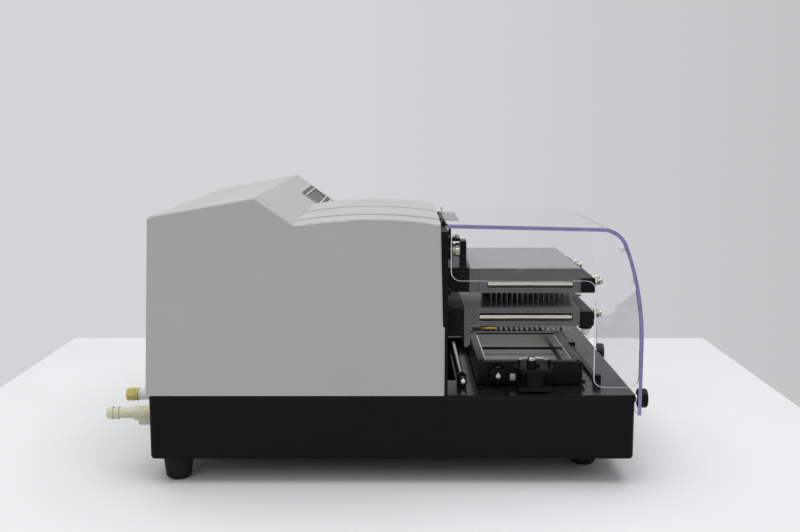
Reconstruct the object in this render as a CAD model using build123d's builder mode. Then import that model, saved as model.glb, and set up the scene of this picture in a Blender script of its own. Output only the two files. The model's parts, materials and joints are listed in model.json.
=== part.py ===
"""Microplate washer, bench instrument for 96 and 384 well plates.

Millimetres. +Z is up, the operator stands at -Y and their right hand is +X.
The origin is the middle of the bounding box in plan, on the surface that the feet stand on.
"""

from build123d import *
import math
import os

os.makedirs("parts", exist_ok=True)

# Base box
body_width = 356.0
base_length = 403.0
base_height = 55.0
base_inset = 2.0
base_wall = 3.0
base_corner = 4.0
base_edge = 2.5
deck_thickness = 3.0
rear_reach = 41.3

# Feet
foot_height = 22.0
foot_top_radius = 13.0
foot_bottom_radius = 10.5
foot_edge = 2.5
rear_foot_inset = 21.0
front_foot_inset = 58.0
rear_foot_setback = 19.2
front_foot_setback = 31.7

# Moulded cover: rear housing, sloped console and arched hood
cover_wall = 3.0
cover_lip = 2.0
cover_length = 247.0
cover_rear_height = 148.3
cover_rear_draft = 6.3
ridge_height = 163.8
ridge_setback = 92.8
console_slope = 34.8
valley_run = 31.9
hood_width = 195.0
hood_front_height = 142.3
hood_front_lean = 3.7
hood_rise = 4.9
cover_edge = 2.0
shoulder_radius = 5.0
hood_step_rise = 0.8
hood_step_inset = 33.4

# Console overlay and display window
overlay_gap = 27.0
overlay_length = 128.0
overlay_thickness = 0.8
overlay_margin = 22.0
overlay_setback = 18.0
window_side = 3.0
window_length = 13.5
window_setback = 27.0
display_depth = 9.0
display_border = 4.0

# Bay wall and its slots
bay_wall_thickness = 2.6
bay_wall_drop = 6.8
slot_width = 13.0
slot_low = 22.0
slot_drop = 27.5
slot_through = 8.0

# Shield
shield_thickness = 3.0
shield_gap = 1.7
shield_side_gap = 3.0
shield_top_drop = 0.4
shield_brow_height = 124.5
shield_front_run = 15.3
shield_bend_run = 20.6
shield_bend_drop = 14.5
shield_front_drop = 82.6
shield_skirt = 16.5
panel_thickness = 2.0
panel_bottom = 7.0
panel_window_top = 95.6
panel_window_radius = 8.0
panel_leg_setback = 35.5
glue_line = 0.05
grip_depth = 5.7
grip_radius = 8.0
grip_stud_radius = 2.5
grip_setback = 8.0
grip_drop = 4.0

# Shield hinge
hinge_pin_radius = 1.0
hinge_knuckle_radius = 2.2
hinge_length = 69.0
hinge_offset = 2.6
hinge_drop = 2.8
hinge_knuckles = 5
leaf_thickness = 1.1
leaf_length = 12.0
hinge_shift = -6.5

# Fits
shaft_clearance = 0.05
running_clearance = 0.3
seat_clearance = 0.4

# Wash head, measured from the tube field
well_pitch = 9.0
row_pitch = 4.5
plate_rim_x = 9.88
plate_rim_y = 6.74
hood_spare = 84.0
bay_spare = 84.0
head_shift = -1.5
head_setback = 39.5
head_margin = 15.0
tube_side = 1.1
nozzle_offset = 3.0
slot_play = 1.9

# Aspirate manifold: its height below the hood, its reach past the well field
aspirate_drop = 60.7
aspirate_height = 21.4
aspirate_front = 3.2
aspirate_back = 18.0
aspirate_tube_length = 33.8
aspirate_yoke_height = 20.8

# Dispense manifold
dispense_drop = 89.0
dispense_height = 15.2
dispense_front = 3.0
dispense_back = 22.0
nozzle_length = 4.8
dispense_yoke_height = 24.0
drip_plate_drop = 18.0
drip_plate_thickness = 5.0

# Parts that both manifolds share
dispense_channel_rear = 12.0
aspirate_channel_rear = 14.7
channel_setback = 5.6
rod_end_gap = 0.8
channel_height = 7.0
channel_depth = 5.0
channel_rise = 4.0
channel_corner = 2.5
rod_radius = 2.1
bar_depth = 12.2
bar_height = 12.6
bar_edge = 0.8
clamp_inset = 19.0
clamp_stud_radius = 2.0
clamp_rise = 7.4
clamp_flange_radius = 5.0
clamp_flange = 1.9
clamp_groove_radius = 3.6
clamp_groove = 0.7
clamp_collar_radius = 4.6
clamp_collar = 2.0
clamp_hex_radius = 3.7
clamp_hex = 3.0
clamp_sides = 6
clamp_tip_radius = 2.75
clamp_tip = 2.2
seam_setback = 8.0
seam_width = 0.5

# End nozzle under the dispense bar and suction fitting on the aspirate yoke
end_nozzle_flange_radius = 5.6
end_nozzle_flange = 2.6
end_nozzle_radius = 3.6
end_nozzle_tip_radius = 2.4
end_nozzle_length = 9.2
end_nozzle_inset = 9.0
end_nozzle_setback = 6.6
suction_inset = 11.0
suction_setback = 2.7
suction_width = 18.0
suction_height = 22.0
suction_depth = 5.0
suction_rise = 13.8
suction_radius = 5.6
suction_neck_radius = 3.4
suction_bore = 2.0
suction_collar = 6.6
suction_length = 8.6

# Lift drive behind the bay wall
shaft_radius = 4.0
shaft_spread = 76.0
shaft_setback = 21.5
arm_width = 11.0
arm_height = 14.0
crossbar_depth = 14.0
frame_plate = 4.0
frame_drop = 30.3
frame_width = 112.0
frame_depth = 46.0
screw_radius = 3.0
screw_spread = 28.0
motor_size = 28.0
lift_motor_height = 24.0
aspirate_motor_height = 20.0
lift_travel = 22.0
aspirate_travel = 12.0
screw_lead = 5.0

# Plate carriage
carriage_lift = 2.0
carriage_plate = 3.0
carriage_gap = 6.24
plate_clearance = 0.5
pocket_wall = 3.0
pocket_wall_height = 11.0
seat_height = 5.0
seat_ledge = 6.0

# Priming trough
trough_play = 0.76
trough_spare = 4.02
trough_height = 16.5
trough_wall = 6.5
trough_end_wall = 7.5
trough_shift = 1.2
liner_wall = 1.5
liner_drop = 1.0
groove_width = 3.0
groove_depth = 0.8

# Guide rail and front guide
rail_radius = 2.5
rail_height = 4.2
rail_setback = 16.5
rail_left_inset = 37.0
rail_right_inset = 28.0
rail_ball_radius = 4.0
rail_neck_length = 3.0
rail_neck_radius = 1.8
rail_collar_radius = 3.2
rail_collar_length = 2.4
support_length = 6.0
slide_length = 12.0
slide_height = 9.5
guide_width = 4.0
guide_height = 3.0
guide_setback = 24.0
shoe_length = 14.0
shoe_spread = 80.0
shoe_width = 9.0
guide_stop_length = 7.0
guide_stop_width = 6.0
guide_stop_height = 8.5

# Carriage drive under the deck
belt_slot_width = 7.5
belt_slot_setback = 5.8
slot_end_gap = 0.8
belt_width = 6.0
belt_thickness = 1.5
belt_drop = 18.0
pulley_radius = 8.0
pulley_height = 9.0
pulley_bore = 2.5
pulley_inset = 26.0
drive_arm_thickness = 4.5
drive_offset = 38.0
cable_hole_width = 40.0
cable_hole_depth = 30.0

# Trough hardware at the left end
knob_radius = 8.0
knob_length = 6.6
knob_lobes = 6
knob_lobe_radius = 1.6
knob_height = 5.5
knob_setback = 16.75
knob_chamfer = 1.0
knob_shaft_radius = 2.0
latch_reach = 16.5
latch_hub_radius = 9.3
latch_hub_height = 13.0
latch_disk_radius = 16.0
latch_disk_thickness = 3.0
latch_post_radius = 3.3
latch_post_height = 9.0
latch_post_offset = 7.5
latch_bore = 2.5
latch_edge = 0.8
tongue_width = 26.0

# Plate clamp
clamp_lever_length = 26.0
clamp_lever_width = 5.0
clamp_shelf = 7.0
clamp_pivot_radius = 1.5

# Rear panel fittings and power entry
fitting_neck_radius = 4.0
fitting_nut_radius = 7.0
fitting_nut = 3.0
barb_body_radius = 6.0
barb_body_length = 18.0
barb_radius = 4.5
barb_bore = 2.6
barb_height = 32.5
barb_ridges = 2
barb_pitch = 5.0
barb_ridge_radius = 5.5
barb_inset = 28.0
fitting_spread = 22.0
waste_radius = 5.7
waste_height = 21.3
waste_reach = 19.6
vent_radius = 5.3
vent_length = 19.8
cap_radius = 5.8
cap_sides = 6
cap_height = 43.1
cap_reach = 30.1
inlet_width = 27.5
inlet_height = 20.0
inlet_inset = 50.0
inlet_flange = 4.0
switch_width = 13.0
switch_height = 20.0
switch_inset = 86.0
port_width = 19.0
port_height = 9.0
port_inset = 138.0
port_flange = 6.0
port_reach = 4.0
port_shell = 0.4
port_angle = 78.0
rocker_width = 8.4
rocker_radius = 14.0
rocker_inset = 4.0
rocker_half_depth = 3.0
rocker_half_height = 7.0
rocker_pin_radius = 1.0
rocker_pin_length = 1.0
panel_height = 27.0

# Inner units
supply_gap = 33.0
supply_depth = 80.0
supply_height = 38.0
board_gap = 13.0
board_depth = 110.0
board_thickness = 1.6
pump_radius = 18.0
pump_length = 60.0
pump_setback = 41.0
standoff_height = 6.0
standoff_radius = 3.0
standoff_inset = 6.0

# Derived planes
half_width = body_width / 2
front_reach = shield_gap + shield_thickness + grip_depth
front_y = front_reach - (base_length + front_reach + rear_reach) / 2
rear_y = front_y + base_length
mid_y = (front_y + rear_y) / 2
base_width = body_width - 2 * base_inset
rear_foot_spread = base_width - 2 * rear_foot_inset
front_foot_spread = base_width - 2 * front_foot_inset
base_top = foot_height + base_height
deck_bottom = base_top - deck_thickness
pan_floor = foot_height + base_wall
cover_rear_y = rear_y + cover_lip
cover_left = -half_width
bay_y = cover_rear_y - cover_length
ridge_y = cover_rear_y - ridge_setback
ridge_z = base_top + ridge_height
slope_tan = math.tan(math.radians(console_slope))
valley_y = ridge_y - valley_run
valley_z = ridge_z - valley_run * slope_tan
hood_front_y = bay_y + hood_front_lean
hood_front_z = base_top + hood_front_height
console_front_z = ridge_z - (ridge_y - bay_y) * slope_tan
hood_right = cover_left + hood_width
crown_y = (valley_y + hood_front_y) / 2
crown_z = (valley_z + hood_front_z) / 2 + hood_rise
bay_face_y = bay_y - bay_wall_thickness
bay_left = cover_left + cover_wall
bay_right = hood_right - cover_wall
hinge_y = hood_front_y - hinge_offset
hinge_z = hood_front_z - hinge_drop
bay_wall_height = hood_front_height - bay_wall_drop
slot_high = bay_wall_height - slot_drop

# The bay decides how many wells fit, and the plate, trough and manifolds follow the wells
columns = int((hood_width - hood_spare) / well_pitch)
rows = int((bay_y - front_y - bay_spare) / row_pitch)
field_length = columns * well_pitch
field_width = rows * row_pitch
plate_length = field_length + 2 * plate_rim_x
plate_width = field_width + 2 * plate_rim_y
head_width = field_length + 2 * head_margin
head_x = cover_left + hood_width / 2 + head_shift
head_y = bay_y - head_setback - field_width / 2
hinge_x = head_x + hinge_shift
carriage_travel = plate_length + carriage_gap
trough_length = plate_length - trough_play
trough_width = plate_width + trough_spare
frame_height = hood_front_height - frame_drop
aspirate_bottom = hood_front_height - aspirate_drop
dispense_bottom = hood_front_height - dispense_drop
clamp_spread = head_width - 2 * clamp_inset
tube_x = [head_x + (i - (columns - 1) / 2) * well_pitch for i in range(columns)]
tube_y = [head_y + (j - (rows - 1) / 2) * row_pitch for j in range(rows)]
console_plane = Plane(
    origin=(0, ridge_y, ridge_z),
    x_dir=(1, 0, 0),
    z_dir=(0, -math.sin(math.radians(console_slope)), math.cos(math.radians(console_slope))),
)
overlay_width = body_width - hood_width - overlay_margin - overlay_gap
window_width = overlay_width - 2 * window_side
overlay_x = half_width - overlay_margin - overlay_width / 2
overlay_mid = -(overlay_setback + overlay_length / 2)
window_mid = -(window_setback + window_length / 2)

# Rear fittings: each is (x, z) on the rear wall
barb_x = cover_left + barb_inset
inlet_x = half_width - inlet_inset
switch_x = half_width - switch_inset
port_x = half_width - port_inset
barb_spot = (barb_x, foot_height + barb_height)
waste_spot = (barb_x + fitting_spread, foot_height + waste_height)
cap_spot = (barb_x + fitting_spread, foot_height + cap_height)
inlet_spot = (inlet_x, foot_height + panel_height)
switch_spot = (switch_x, foot_height + panel_height)
port_spot = (port_x, foot_height + panel_height)

# Rail, guide and belt lines
rail_left = cover_left + rail_left_inset
rail_right = half_width - rail_right_inset
pulley_spread = base_width - 2 * pulley_inset
rail_y = bay_face_y - rail_setback + bay_wall_thickness
rail_z = base_top + rail_height
guide_y = front_y + guide_setback
belt_slot_y = bay_face_y - belt_slot_setback
belt_z = deck_bottom - belt_drop
pulley_y = belt_slot_y + pulley_radius + belt_thickness / 2
carriage_bottom = base_top + carriage_lift
carriage_top = carriage_bottom + carriage_plate
pocket_x = head_x + carriage_travel
pocket_length = plate_length + 2 * plate_clearance
pocket_width = plate_width + 2 * plate_clearance
pocket_outer_x = pocket_x + pocket_length / 2 + pocket_wall
carriage_left = head_x - trough_length / 2
slide_spots = (pocket_x - drive_offset, pocket_outer_x - slide_length / 2)
drive_x = slide_spots[0]


# Base
with BuildPart() as base_pan:
    with BuildSketch(Plane.XY.offset(foot_height)):
        with Locations((0, mid_y)):
            RectangleRounded(base_width, base_length, base_corner)
    extrude(amount=base_height - deck_thickness)
    fillet(base_pan.faces().sort_by(Axis.Z)[0].edges(), base_edge)
    with BuildSketch(Plane.XY.offset(pan_floor)):
        with Locations((0, mid_y)):
            Rectangle(base_width - 2 * base_wall, base_length - 2 * base_wall)
    extrude(amount=base_height, mode=Mode.SUBTRACT)
    with BuildSketch(Plane.XZ.offset(-rear_y)):
        with Locations(barb_spot, waste_spot, cap_spot):
            Circle(fitting_neck_radius + shaft_clearance)
        with Locations(inlet_spot):
            Rectangle(inlet_width, inlet_height)
        with Locations(switch_spot):
            Rectangle(switch_width, switch_height)
        with Locations(port_spot):
            Rectangle(port_width, port_height)
    extrude(amount=base_wall, mode=Mode.SUBTRACT)
base_pan.part.label = "base_pan"
export_step(base_pan.part, "parts/base_pan.step")

with BuildPart() as deck_plate:
    with BuildSketch(Plane.XY.offset(deck_bottom)):
        with Locations((0, mid_y)):
            RectangleRounded(base_width, base_length, base_corner)
    extrude(amount=deck_thickness)
    with BuildSketch(Plane.XY.offset(deck_bottom)):
        with Locations((drive_x - carriage_travel / 2, belt_slot_y)):
            Rectangle(carriage_travel + slide_length + 2 * slot_end_gap, belt_slot_width)
        with Locations((0, (bay_y + rear_y) / 2)):
            Rectangle(cable_hole_width, cable_hole_depth)
    extrude(amount=deck_thickness, mode=Mode.SUBTRACT)
deck_plate.part.label = "deck_plate"
export_step(deck_plate.part, "parts/deck_plate.step")

with BuildPart() as feet:
    with BuildSketch():
        with Locations(
            (-rear_foot_spread / 2, rear_y - rear_foot_setback),
            (rear_foot_spread / 2, rear_y - rear_foot_setback),
            (-front_foot_spread / 2, front_y + front_foot_setback),
            (front_foot_spread / 2, front_y + front_foot_setback),
        ):
            Circle(foot_bottom_radius)
    extrude(
        amount=foot_height,
        taper=-math.degrees(math.atan((foot_top_radius - foot_bottom_radius) / foot_height)),
    )
    chamfer(feet.edges().group_by(Axis.Z)[0], foot_edge)
feet.part.label = "feet"
export_step(feet.part, "parts/feet.step")

# Cover: the console profile runs the full width and the arched hood covers the left bay
with BuildPart() as main_cover:
    for inset, low, mode in (
        (0, base_top, Mode.ADD),
        (cover_wall, base_top - 2 * cover_wall, Mode.SUBTRACT),
    ):
        with BuildSketch(Plane.YZ.offset(cover_left + inset)):
            with BuildLine():
                Polyline(
                    (bay_y, low),
                    (cover_rear_y, low),
                    (cover_rear_y - cover_rear_draft, base_top + cover_rear_height),
                    (ridge_y, ridge_z),
                    (bay_y, console_front_z),
                    close=True,
                )
            make_face()
            if inset:
                offset(amount=-inset, kind=Kind.INTERSECTION)
        extrude(amount=body_width - 2 * inset, mode=mode)
        if not inset:
            fillet(
                main_cover.edges().filter_by(Axis.X).group_by(Axis.Y)[-2],
                shoulder_radius,
            )
        with BuildSketch(Plane.YZ.offset(cover_left + inset)):
            with BuildLine():
                ThreePointArc((valley_y, valley_z), (crown_y, crown_z), (hood_front_y, hood_front_z))
                Polyline(
                    (hood_front_y, hood_front_z),
                    (bay_y, low),
                    (valley_y, low),
                    (valley_y, valley_z),
                )
            make_face()
            if inset:
                offset(amount=-inset, kind=Kind.INTERSECTION)
        extrude(amount=hood_width - 2 * inset, mode=mode)
        if not inset:
            fillet(
                main_cover.faces().sort_by(Axis.X)[0].edges().filter_by_position(
                    Axis.Z, base_top + cover_edge, ridge_z
                ),
                cover_edge,
            )
            fillet(
                main_cover.faces().sort_by(Axis.X)[-1].edges().filter_by_position(
                    Axis.Z, base_top + cover_edge, ridge_z
                ),
                cover_edge,
            )
    with BuildSketch(Plane.YZ.offset(cover_left + hood_step_inset)):
        with BuildLine():
            ThreePointArc((valley_y, valley_z), (crown_y, crown_z), (hood_front_y, hood_front_z))
            Line((hood_front_y, hood_front_z), (hood_front_y, hood_front_z + hood_step_rise))
            ThreePointArc(
                (hood_front_y, hood_front_z + hood_step_rise),
                (crown_y, crown_z + hood_step_rise),
                (valley_y, valley_z + hood_step_rise),
            )
            Line((valley_y, valley_z + hood_step_rise), (valley_y, valley_z))
        make_face()
    extrude(amount=hood_width - hood_step_inset - cover_edge)
    with BuildSketch(Plane.XZ.offset(-bay_y - hood_front_lean - 2 * cover_wall)):
        with Locations(((bay_left + bay_right) / 2, base_top)):
            Rectangle(
                bay_right - bay_left,
                hood_front_height - cover_wall,
                align=(Align.CENTER, Align.MIN),
            )
    extrude(amount=hood_front_lean + 3 * cover_wall, mode=Mode.SUBTRACT)
    with BuildSketch(console_plane):
        with Locations((overlay_x, window_mid)):
            Rectangle(window_width + 2 * display_border, window_length + 2 * display_border)
    extrude(amount=-2 * cover_wall, mode=Mode.SUBTRACT)
main_cover.part.label = "main_cover"
export_step(main_cover.part, "parts/main_cover.step")

with BuildPart() as keypad_overlay:
    with BuildSketch(console_plane):
        with Locations((overlay_x, overlay_mid)):
            RectangleRounded(overlay_width, overlay_length, base_corner)
        with Locations((overlay_x, window_mid)):
            Rectangle(window_width, window_length, mode=Mode.SUBTRACT)
    extrude(amount=overlay_thickness)
keypad_overlay.part.label = "keypad_overlay"
export_step(keypad_overlay.part, "parts/keypad_overlay.step")

with BuildPart() as display_module:
    with BuildSketch(console_plane):
        with Locations((overlay_x, window_mid)):
            Rectangle(
                window_width + 2 * display_border - 2 * seat_clearance,
                window_length + 2 * display_border - 2 * seat_clearance,
            )
    extrude(amount=-display_depth)
display_module.part.label = "display_module"
export_step(display_module.part, "parts/display_module.step")

# Bay wall: front upright, back face leaning with the hood's front edge
with BuildPart() as bay_bulkhead:
    with BuildSketch(Plane.YZ.offset(bay_left)):
        with BuildLine():
            Polyline(
                (bay_face_y, base_top),
                (bay_y, base_top),
                (bay_y + hood_front_lean * bay_wall_height / hood_front_height, base_top + bay_wall_height),
                (bay_face_y, base_top + bay_wall_height),
                close=True,
            )
        make_face()
    extrude(amount=bay_right - bay_left)
    with BuildSketch(Plane.XZ.offset(-bay_y - slot_through)):
        with Locations(
            (head_x - shaft_spread / 2, base_top + (slot_low + slot_high) / 2),
            (head_x + shaft_spread / 2, base_top + (slot_low + slot_high) / 2),
        ):
            SlotOverall(slot_high - slot_low, slot_width, rotation=90)
    extrude(amount=2 * slot_through, mode=Mode.SUBTRACT)
bay_bulkhead.part.label = "bay_bulkhead"
export_step(bay_bulkhead.part, "parts/bay_bulkhead.step")

# Lift drive behind the bay wall
shaft_y = bay_face_y + shaft_setback
frame_front_y = bay_y + hood_front_lean + running_clearance
frame_top = base_top + frame_height
yoke_back_y = bay_face_y - 2 * seat_clearance
aspirate_z = base_top + aspirate_bottom
aspirate_top = aspirate_z + aspirate_height
dispense_z = base_top + dispense_bottom
dispense_top = dispense_z + dispense_height
aspirate_arm_z = aspirate_z + channel_rise
dispense_arm_z = dispense_top - arm_height
shaft_spots = [(head_x - shaft_spread / 2, shaft_y), (head_x + shaft_spread / 2, shaft_y)]
dispense_screw = (head_x - screw_spread / 2, shaft_y)
aspirate_screw = (head_x + screw_spread / 2, shaft_y)
crossbar_length = shaft_spread + arm_width + 2 * channel_rise

with BuildPart() as z_frame:
    with BuildSketch(Plane.YZ.offset(head_x - frame_width / 2)):
        with BuildLine():
            Polyline(
                (frame_front_y, base_top),
                (frame_front_y + frame_depth, base_top),
                (frame_front_y + frame_depth, frame_top),
                (frame_front_y, frame_top),
                (frame_front_y, frame_top - frame_plate),
                (frame_front_y + frame_depth - frame_plate, frame_top - frame_plate),
                (frame_front_y + frame_depth - frame_plate, base_top + frame_plate),
                (frame_front_y, base_top + frame_plate),
                close=True,
            )
        make_face()
    extrude(amount=frame_width)
    with BuildSketch(Plane.XY.offset(base_top + frame_plate / 2)):
        with Locations(*shaft_spots):
            Circle(shaft_radius + shaft_clearance)
        with Locations(dispense_screw):
            Circle(screw_radius + shaft_clearance)
    extrude(amount=frame_height, mode=Mode.SUBTRACT)
z_frame.part.label = "z_frame"
export_step(z_frame.part, "parts/z_frame.step")

with BuildPart() as z_guide_shafts:
    with BuildSketch(Plane.XY.offset(base_top + frame_plate / 2)):
        with Locations(*shaft_spots):
            Circle(shaft_radius)
    extrude(amount=frame_height - frame_plate / 2)
z_guide_shafts.part.label = "z_guide_shafts"
export_step(z_guide_shafts.part, "parts/z_guide_shafts.step")

with BuildPart() as dispense_motor:
    with BuildSketch(Plane.XY.offset(frame_top)):
        with Locations(dispense_screw):
            RectangleRounded(motor_size, motor_size, base_corner)
    extrude(amount=lift_motor_height)
dispense_motor.part.label = "dispense_motor"
export_step(dispense_motor.part, "parts/dispense_motor.step")

with BuildPart() as dispense_leadscrew:
    with BuildSketch(Plane.XY.offset(base_top + frame_plate / 2)):
        with Locations(dispense_screw):
            Circle(screw_radius)
    extrude(amount=frame_height - frame_plate / 2)
dispense_leadscrew.part.label = "dispense_leadscrew"
export_step(dispense_leadscrew.part, "parts/dispense_leadscrew.step")

with BuildPart() as aspirate_motor:
    with BuildSketch(Plane.XY.offset(dispense_arm_z)):
        with Locations(aspirate_screw):
            RectangleRounded(
                screw_spread - 2 * shaft_radius, crossbar_depth, base_corner / 2
            )
    extrude(amount=-aspirate_motor_height)
aspirate_motor.part.label = "aspirate_motor"
export_step(aspirate_motor.part, "parts/aspirate_motor.step")

with BuildPart() as aspirate_leadscrew:
    with BuildSketch(Plane.XY.offset(dispense_arm_z)):
        with Locations(aspirate_screw):
            Circle(screw_radius)
    extrude(amount=frame_top - frame_plate - running_clearance - dispense_arm_z)
aspirate_leadscrew.part.label = "aspirate_leadscrew"
export_step(aspirate_leadscrew.part, "parts/aspirate_leadscrew.step")

# Manifold planes and the side channels that hold the clean-out rods
dispense_back_y = head_y + field_width / 2 + dispense_back
dispense_front_y = head_y - field_width / 2 - dispense_front
aspirate_back_y = head_y + field_width / 2 + aspirate_back
aspirate_front_y = head_y - field_width / 2 - aspirate_front
dispense_channel_length = dispense_back_y - dispense_front_y - channel_setback - dispense_channel_rear
aspirate_channel_length = aspirate_back_y - aspirate_front_y - channel_setback - aspirate_channel_rear
dispense_channel_y = dispense_front_y + channel_setback + dispense_channel_length / 2
aspirate_channel_y = aspirate_front_y + channel_setback + aspirate_channel_length / 2
dispense_channel_z = dispense_z + channel_rise + channel_height / 2
aspirate_channel_z = aspirate_z + channel_rise + channel_height / 2
clamp_x = (head_x - clamp_spread / 2, head_x + clamp_spread / 2)
suction_x = head_x - head_width / 2 + suction_inset
suction_y = aspirate_back_y + suction_setback + suction_depth
end_nozzle_x = head_x - head_width / 2 + end_nozzle_inset
end_nozzle_y = dispense_front_y - end_nozzle_setback

# Clamp screw: length and radius of each round step, from the bar's back to the tip
clamp_steps = (
    (bar_depth, clamp_stud_radius),
    (clamp_flange, clamp_flange_radius),
    (clamp_groove, clamp_groove_radius),
    (clamp_collar, clamp_collar_radius),
)

# Shield outline as (y, z) points, outer face, from the hinge to the skirt
shield_front_y = front_y - shield_gap - shield_thickness
shield_right = hood_right - shield_side_gap
shield_brow = (shield_front_y + shield_front_run, base_top + shield_brow_height)
shield_bend = (shield_brow[0] + shield_bend_run, shield_brow[1] + shield_bend_drop)
shield_rear_z = hood_front_z - shield_top_drop
sheet_tilt = math.atan2(shield_rear_z - shield_bend[1], hinge_y - hinge_knuckle_radius - shield_bend[0])
shield_rear = (
    hinge_y - hinge_knuckle_radius - running_clearance - shield_thickness * abs(math.sin(sheet_tilt)),
    shield_rear_z,
)
shield_chin = (shield_front_y, shield_brow[1] - shield_front_drop)
shield_toe = (shield_front_y, base_top - shield_skirt)
panel_leg_y = front_y + panel_leg_setback
panel_window_z = base_top + panel_window_top
grip_z = base_top - grip_drop
grip_spots = ((cover_left + grip_setback, grip_z), (shield_right - grip_setback, grip_z))
sheet_run = Vector(shield_bend[0] - shield_rear[0], shield_bend[1] - shield_rear[1]).normalized()
sheet_under = Vector(-sheet_run.Y, sheet_run.X)
leaf_rear = Vector(*shield_rear) + sheet_under * (shield_thickness + glue_line)
leaf_corners = [
    (corner.X, corner.Y)
    for corner in (
        leaf_rear,
        leaf_rear + sheet_run * leaf_length,
        leaf_rear + sheet_run * leaf_length + sheet_under * leaf_thickness,
        leaf_rear + sheet_under * leaf_thickness,
    )
]
knuckle_pitch = hinge_length / hinge_knuckles
knuckle_length = knuckle_pitch - running_clearance
knuckle_starts = [hinge_x - hinge_length / 2 + i * knuckle_pitch for i in range(hinge_knuckles)]

# Carriage lines
pocket_outer_width = pocket_width + 2 * pocket_wall
carriage_front_y = head_y - pocket_outer_width / 2
carriage_rear_y = head_y + pocket_outer_width / 2
shoe_spots = (pocket_x - shoe_spread / 2, pocket_x + shoe_spread / 2)
clamp_y = head_y
clamp_x_line = pocket_outer_x + clamp_shelf / 2 + running_clearance
clamp_pivot_y = clamp_y + (clamp_lever_length - clamp_lever_width) / 2
clamp_nub_y = clamp_y - (clamp_lever_length - clamp_lever_width) / 2
clamp_height = pocket_wall_height - running_clearance
trough_y = head_y + trough_shift
trough_inner_length = trough_length - 2 * trough_end_wall
trough_inner_width = trough_width - 2 * trough_wall
knob_y = trough_y + trough_width / 2 - knob_setback
knob_z = carriage_top + knob_height
latch_x = carriage_left - latch_disk_radius - running_clearance
latch_disk_z = carriage_top + running_clearance + latch_hub_height

# Dispense manifold with its slots for the aspirate tubes
with BuildPart() as dispense_manifold:
    with BuildSketch(Plane.XY.offset(dispense_z)):
        with Locations((head_x, (dispense_front_y + dispense_back_y) / 2)):
            Rectangle(head_width, dispense_back_y - dispense_front_y)
        with Locations(*[(x, head_y) for x in tube_x]):
            Rectangle(
                tube_side + slot_play,
                (rows - 1) * row_pitch + tube_side + slot_play,
                mode=Mode.SUBTRACT,
            )
    extrude(amount=dispense_height)
    for side in (-1, 1):
        with BuildSketch(Plane.YZ.offset(head_x + side * head_width / 2)):
            with Locations((dispense_channel_y, dispense_channel_z)):
                RectangleRounded(dispense_channel_length, channel_height, channel_corner)
            with Locations((dispense_back_y - seam_setback, dispense_z + dispense_height / 2)):
                Rectangle(seam_width, dispense_height)
        extrude(amount=-side * channel_depth, mode=Mode.SUBTRACT)
dispense_manifold.part.label = "dispense_manifold"
export_step(dispense_manifold.part, "parts/dispense_manifold.step")

with BuildPart() as dispense_nozzles:
    with BuildSketch(Plane.XY.offset(dispense_z)):
        with Locations(*[(x + nozzle_offset, y) for x in tube_x for y in tube_y]):
            Rectangle(tube_side, tube_side)
    extrude(amount=-nozzle_length)
dispense_nozzles.part.label = "dispense_nozzles"
export_step(dispense_nozzles.part, "parts/dispense_nozzles.step")

with BuildPart() as dispense_channel_rods:
    for side in (-1, 1):
        with BuildSketch(Plane.XZ.offset(-dispense_channel_y)):
            with Locations((head_x + side * (head_width - channel_depth) / 2, dispense_channel_z)):
                Circle(rod_radius)
        extrude(amount=dispense_channel_length / 2 - rod_end_gap, both=True)
dispense_channel_rods.part.label = "dispense_channel_rods"
export_step(dispense_channel_rods.part, "parts/dispense_channel_rods.step")

with BuildPart() as dispense_yoke:
    with BuildSketch(Plane.XY.offset(dispense_top - dispense_yoke_height)):
        with Locations((head_x, (dispense_back_y + yoke_back_y) / 2)):
            Rectangle(head_width, yoke_back_y - dispense_back_y)
    extrude(amount=dispense_yoke_height)
    with BuildSketch(Plane.XY.offset(dispense_arm_z)):
        with Locations(*[(x, (yoke_back_y + shaft_y) / 2) for x, _ in shaft_spots]):
            Rectangle(arm_width, shaft_y - yoke_back_y)
        with Locations((head_x, shaft_y)):
            Rectangle(crossbar_length, crossbar_depth)
    extrude(amount=arm_height)
    with BuildSketch(Plane.XY.offset(dispense_arm_z)):
        with Locations(*shaft_spots):
            Circle(shaft_radius + shaft_clearance)
        with Locations(dispense_screw, aspirate_screw):
            Circle(screw_radius + shaft_clearance)
    extrude(amount=arm_height, mode=Mode.SUBTRACT)
dispense_yoke.part.label = "dispense_yoke"
export_step(dispense_yoke.part, "parts/dispense_yoke.step")

with BuildPart() as drip_plate:
    with BuildSketch(Plane.XY.offset(dispense_z)):
        with Locations((head_x, dispense_back_y - drip_plate_thickness / 2)):
            Rectangle(head_width, drip_plate_thickness)
    extrude(amount=-drip_plate_drop)
    chamfer(
        drip_plate.faces().sort_by(Axis.Z)[0].edges().filter_by(Axis.X).sort_by(Axis.Y)[0],
        drip_plate_thickness / 2,
    )
drip_plate.part.label = "drip_plate"
export_step(drip_plate.part, "parts/drip_plate.step")

with BuildPart() as dispense_front_bar:
    with BuildSketch(Plane.XZ.offset(-dispense_front_y)):
        with Locations((head_x, dispense_z + bar_height / 2)):
            Rectangle(head_width, bar_height)
        with Locations(*[(x, dispense_z + clamp_rise) for x in clamp_x]):
            Circle(clamp_stud_radius + shaft_clearance, mode=Mode.SUBTRACT)
    extrude(amount=bar_depth)
    chamfer(
        dispense_front_bar.faces().sort_by(Axis.Y)[0].edges().filter_by(Axis.X),
        bar_edge,
    )
dispense_front_bar.part.label = "dispense_front_bar"
export_step(dispense_front_bar.part, "parts/dispense_front_bar.step")

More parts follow.
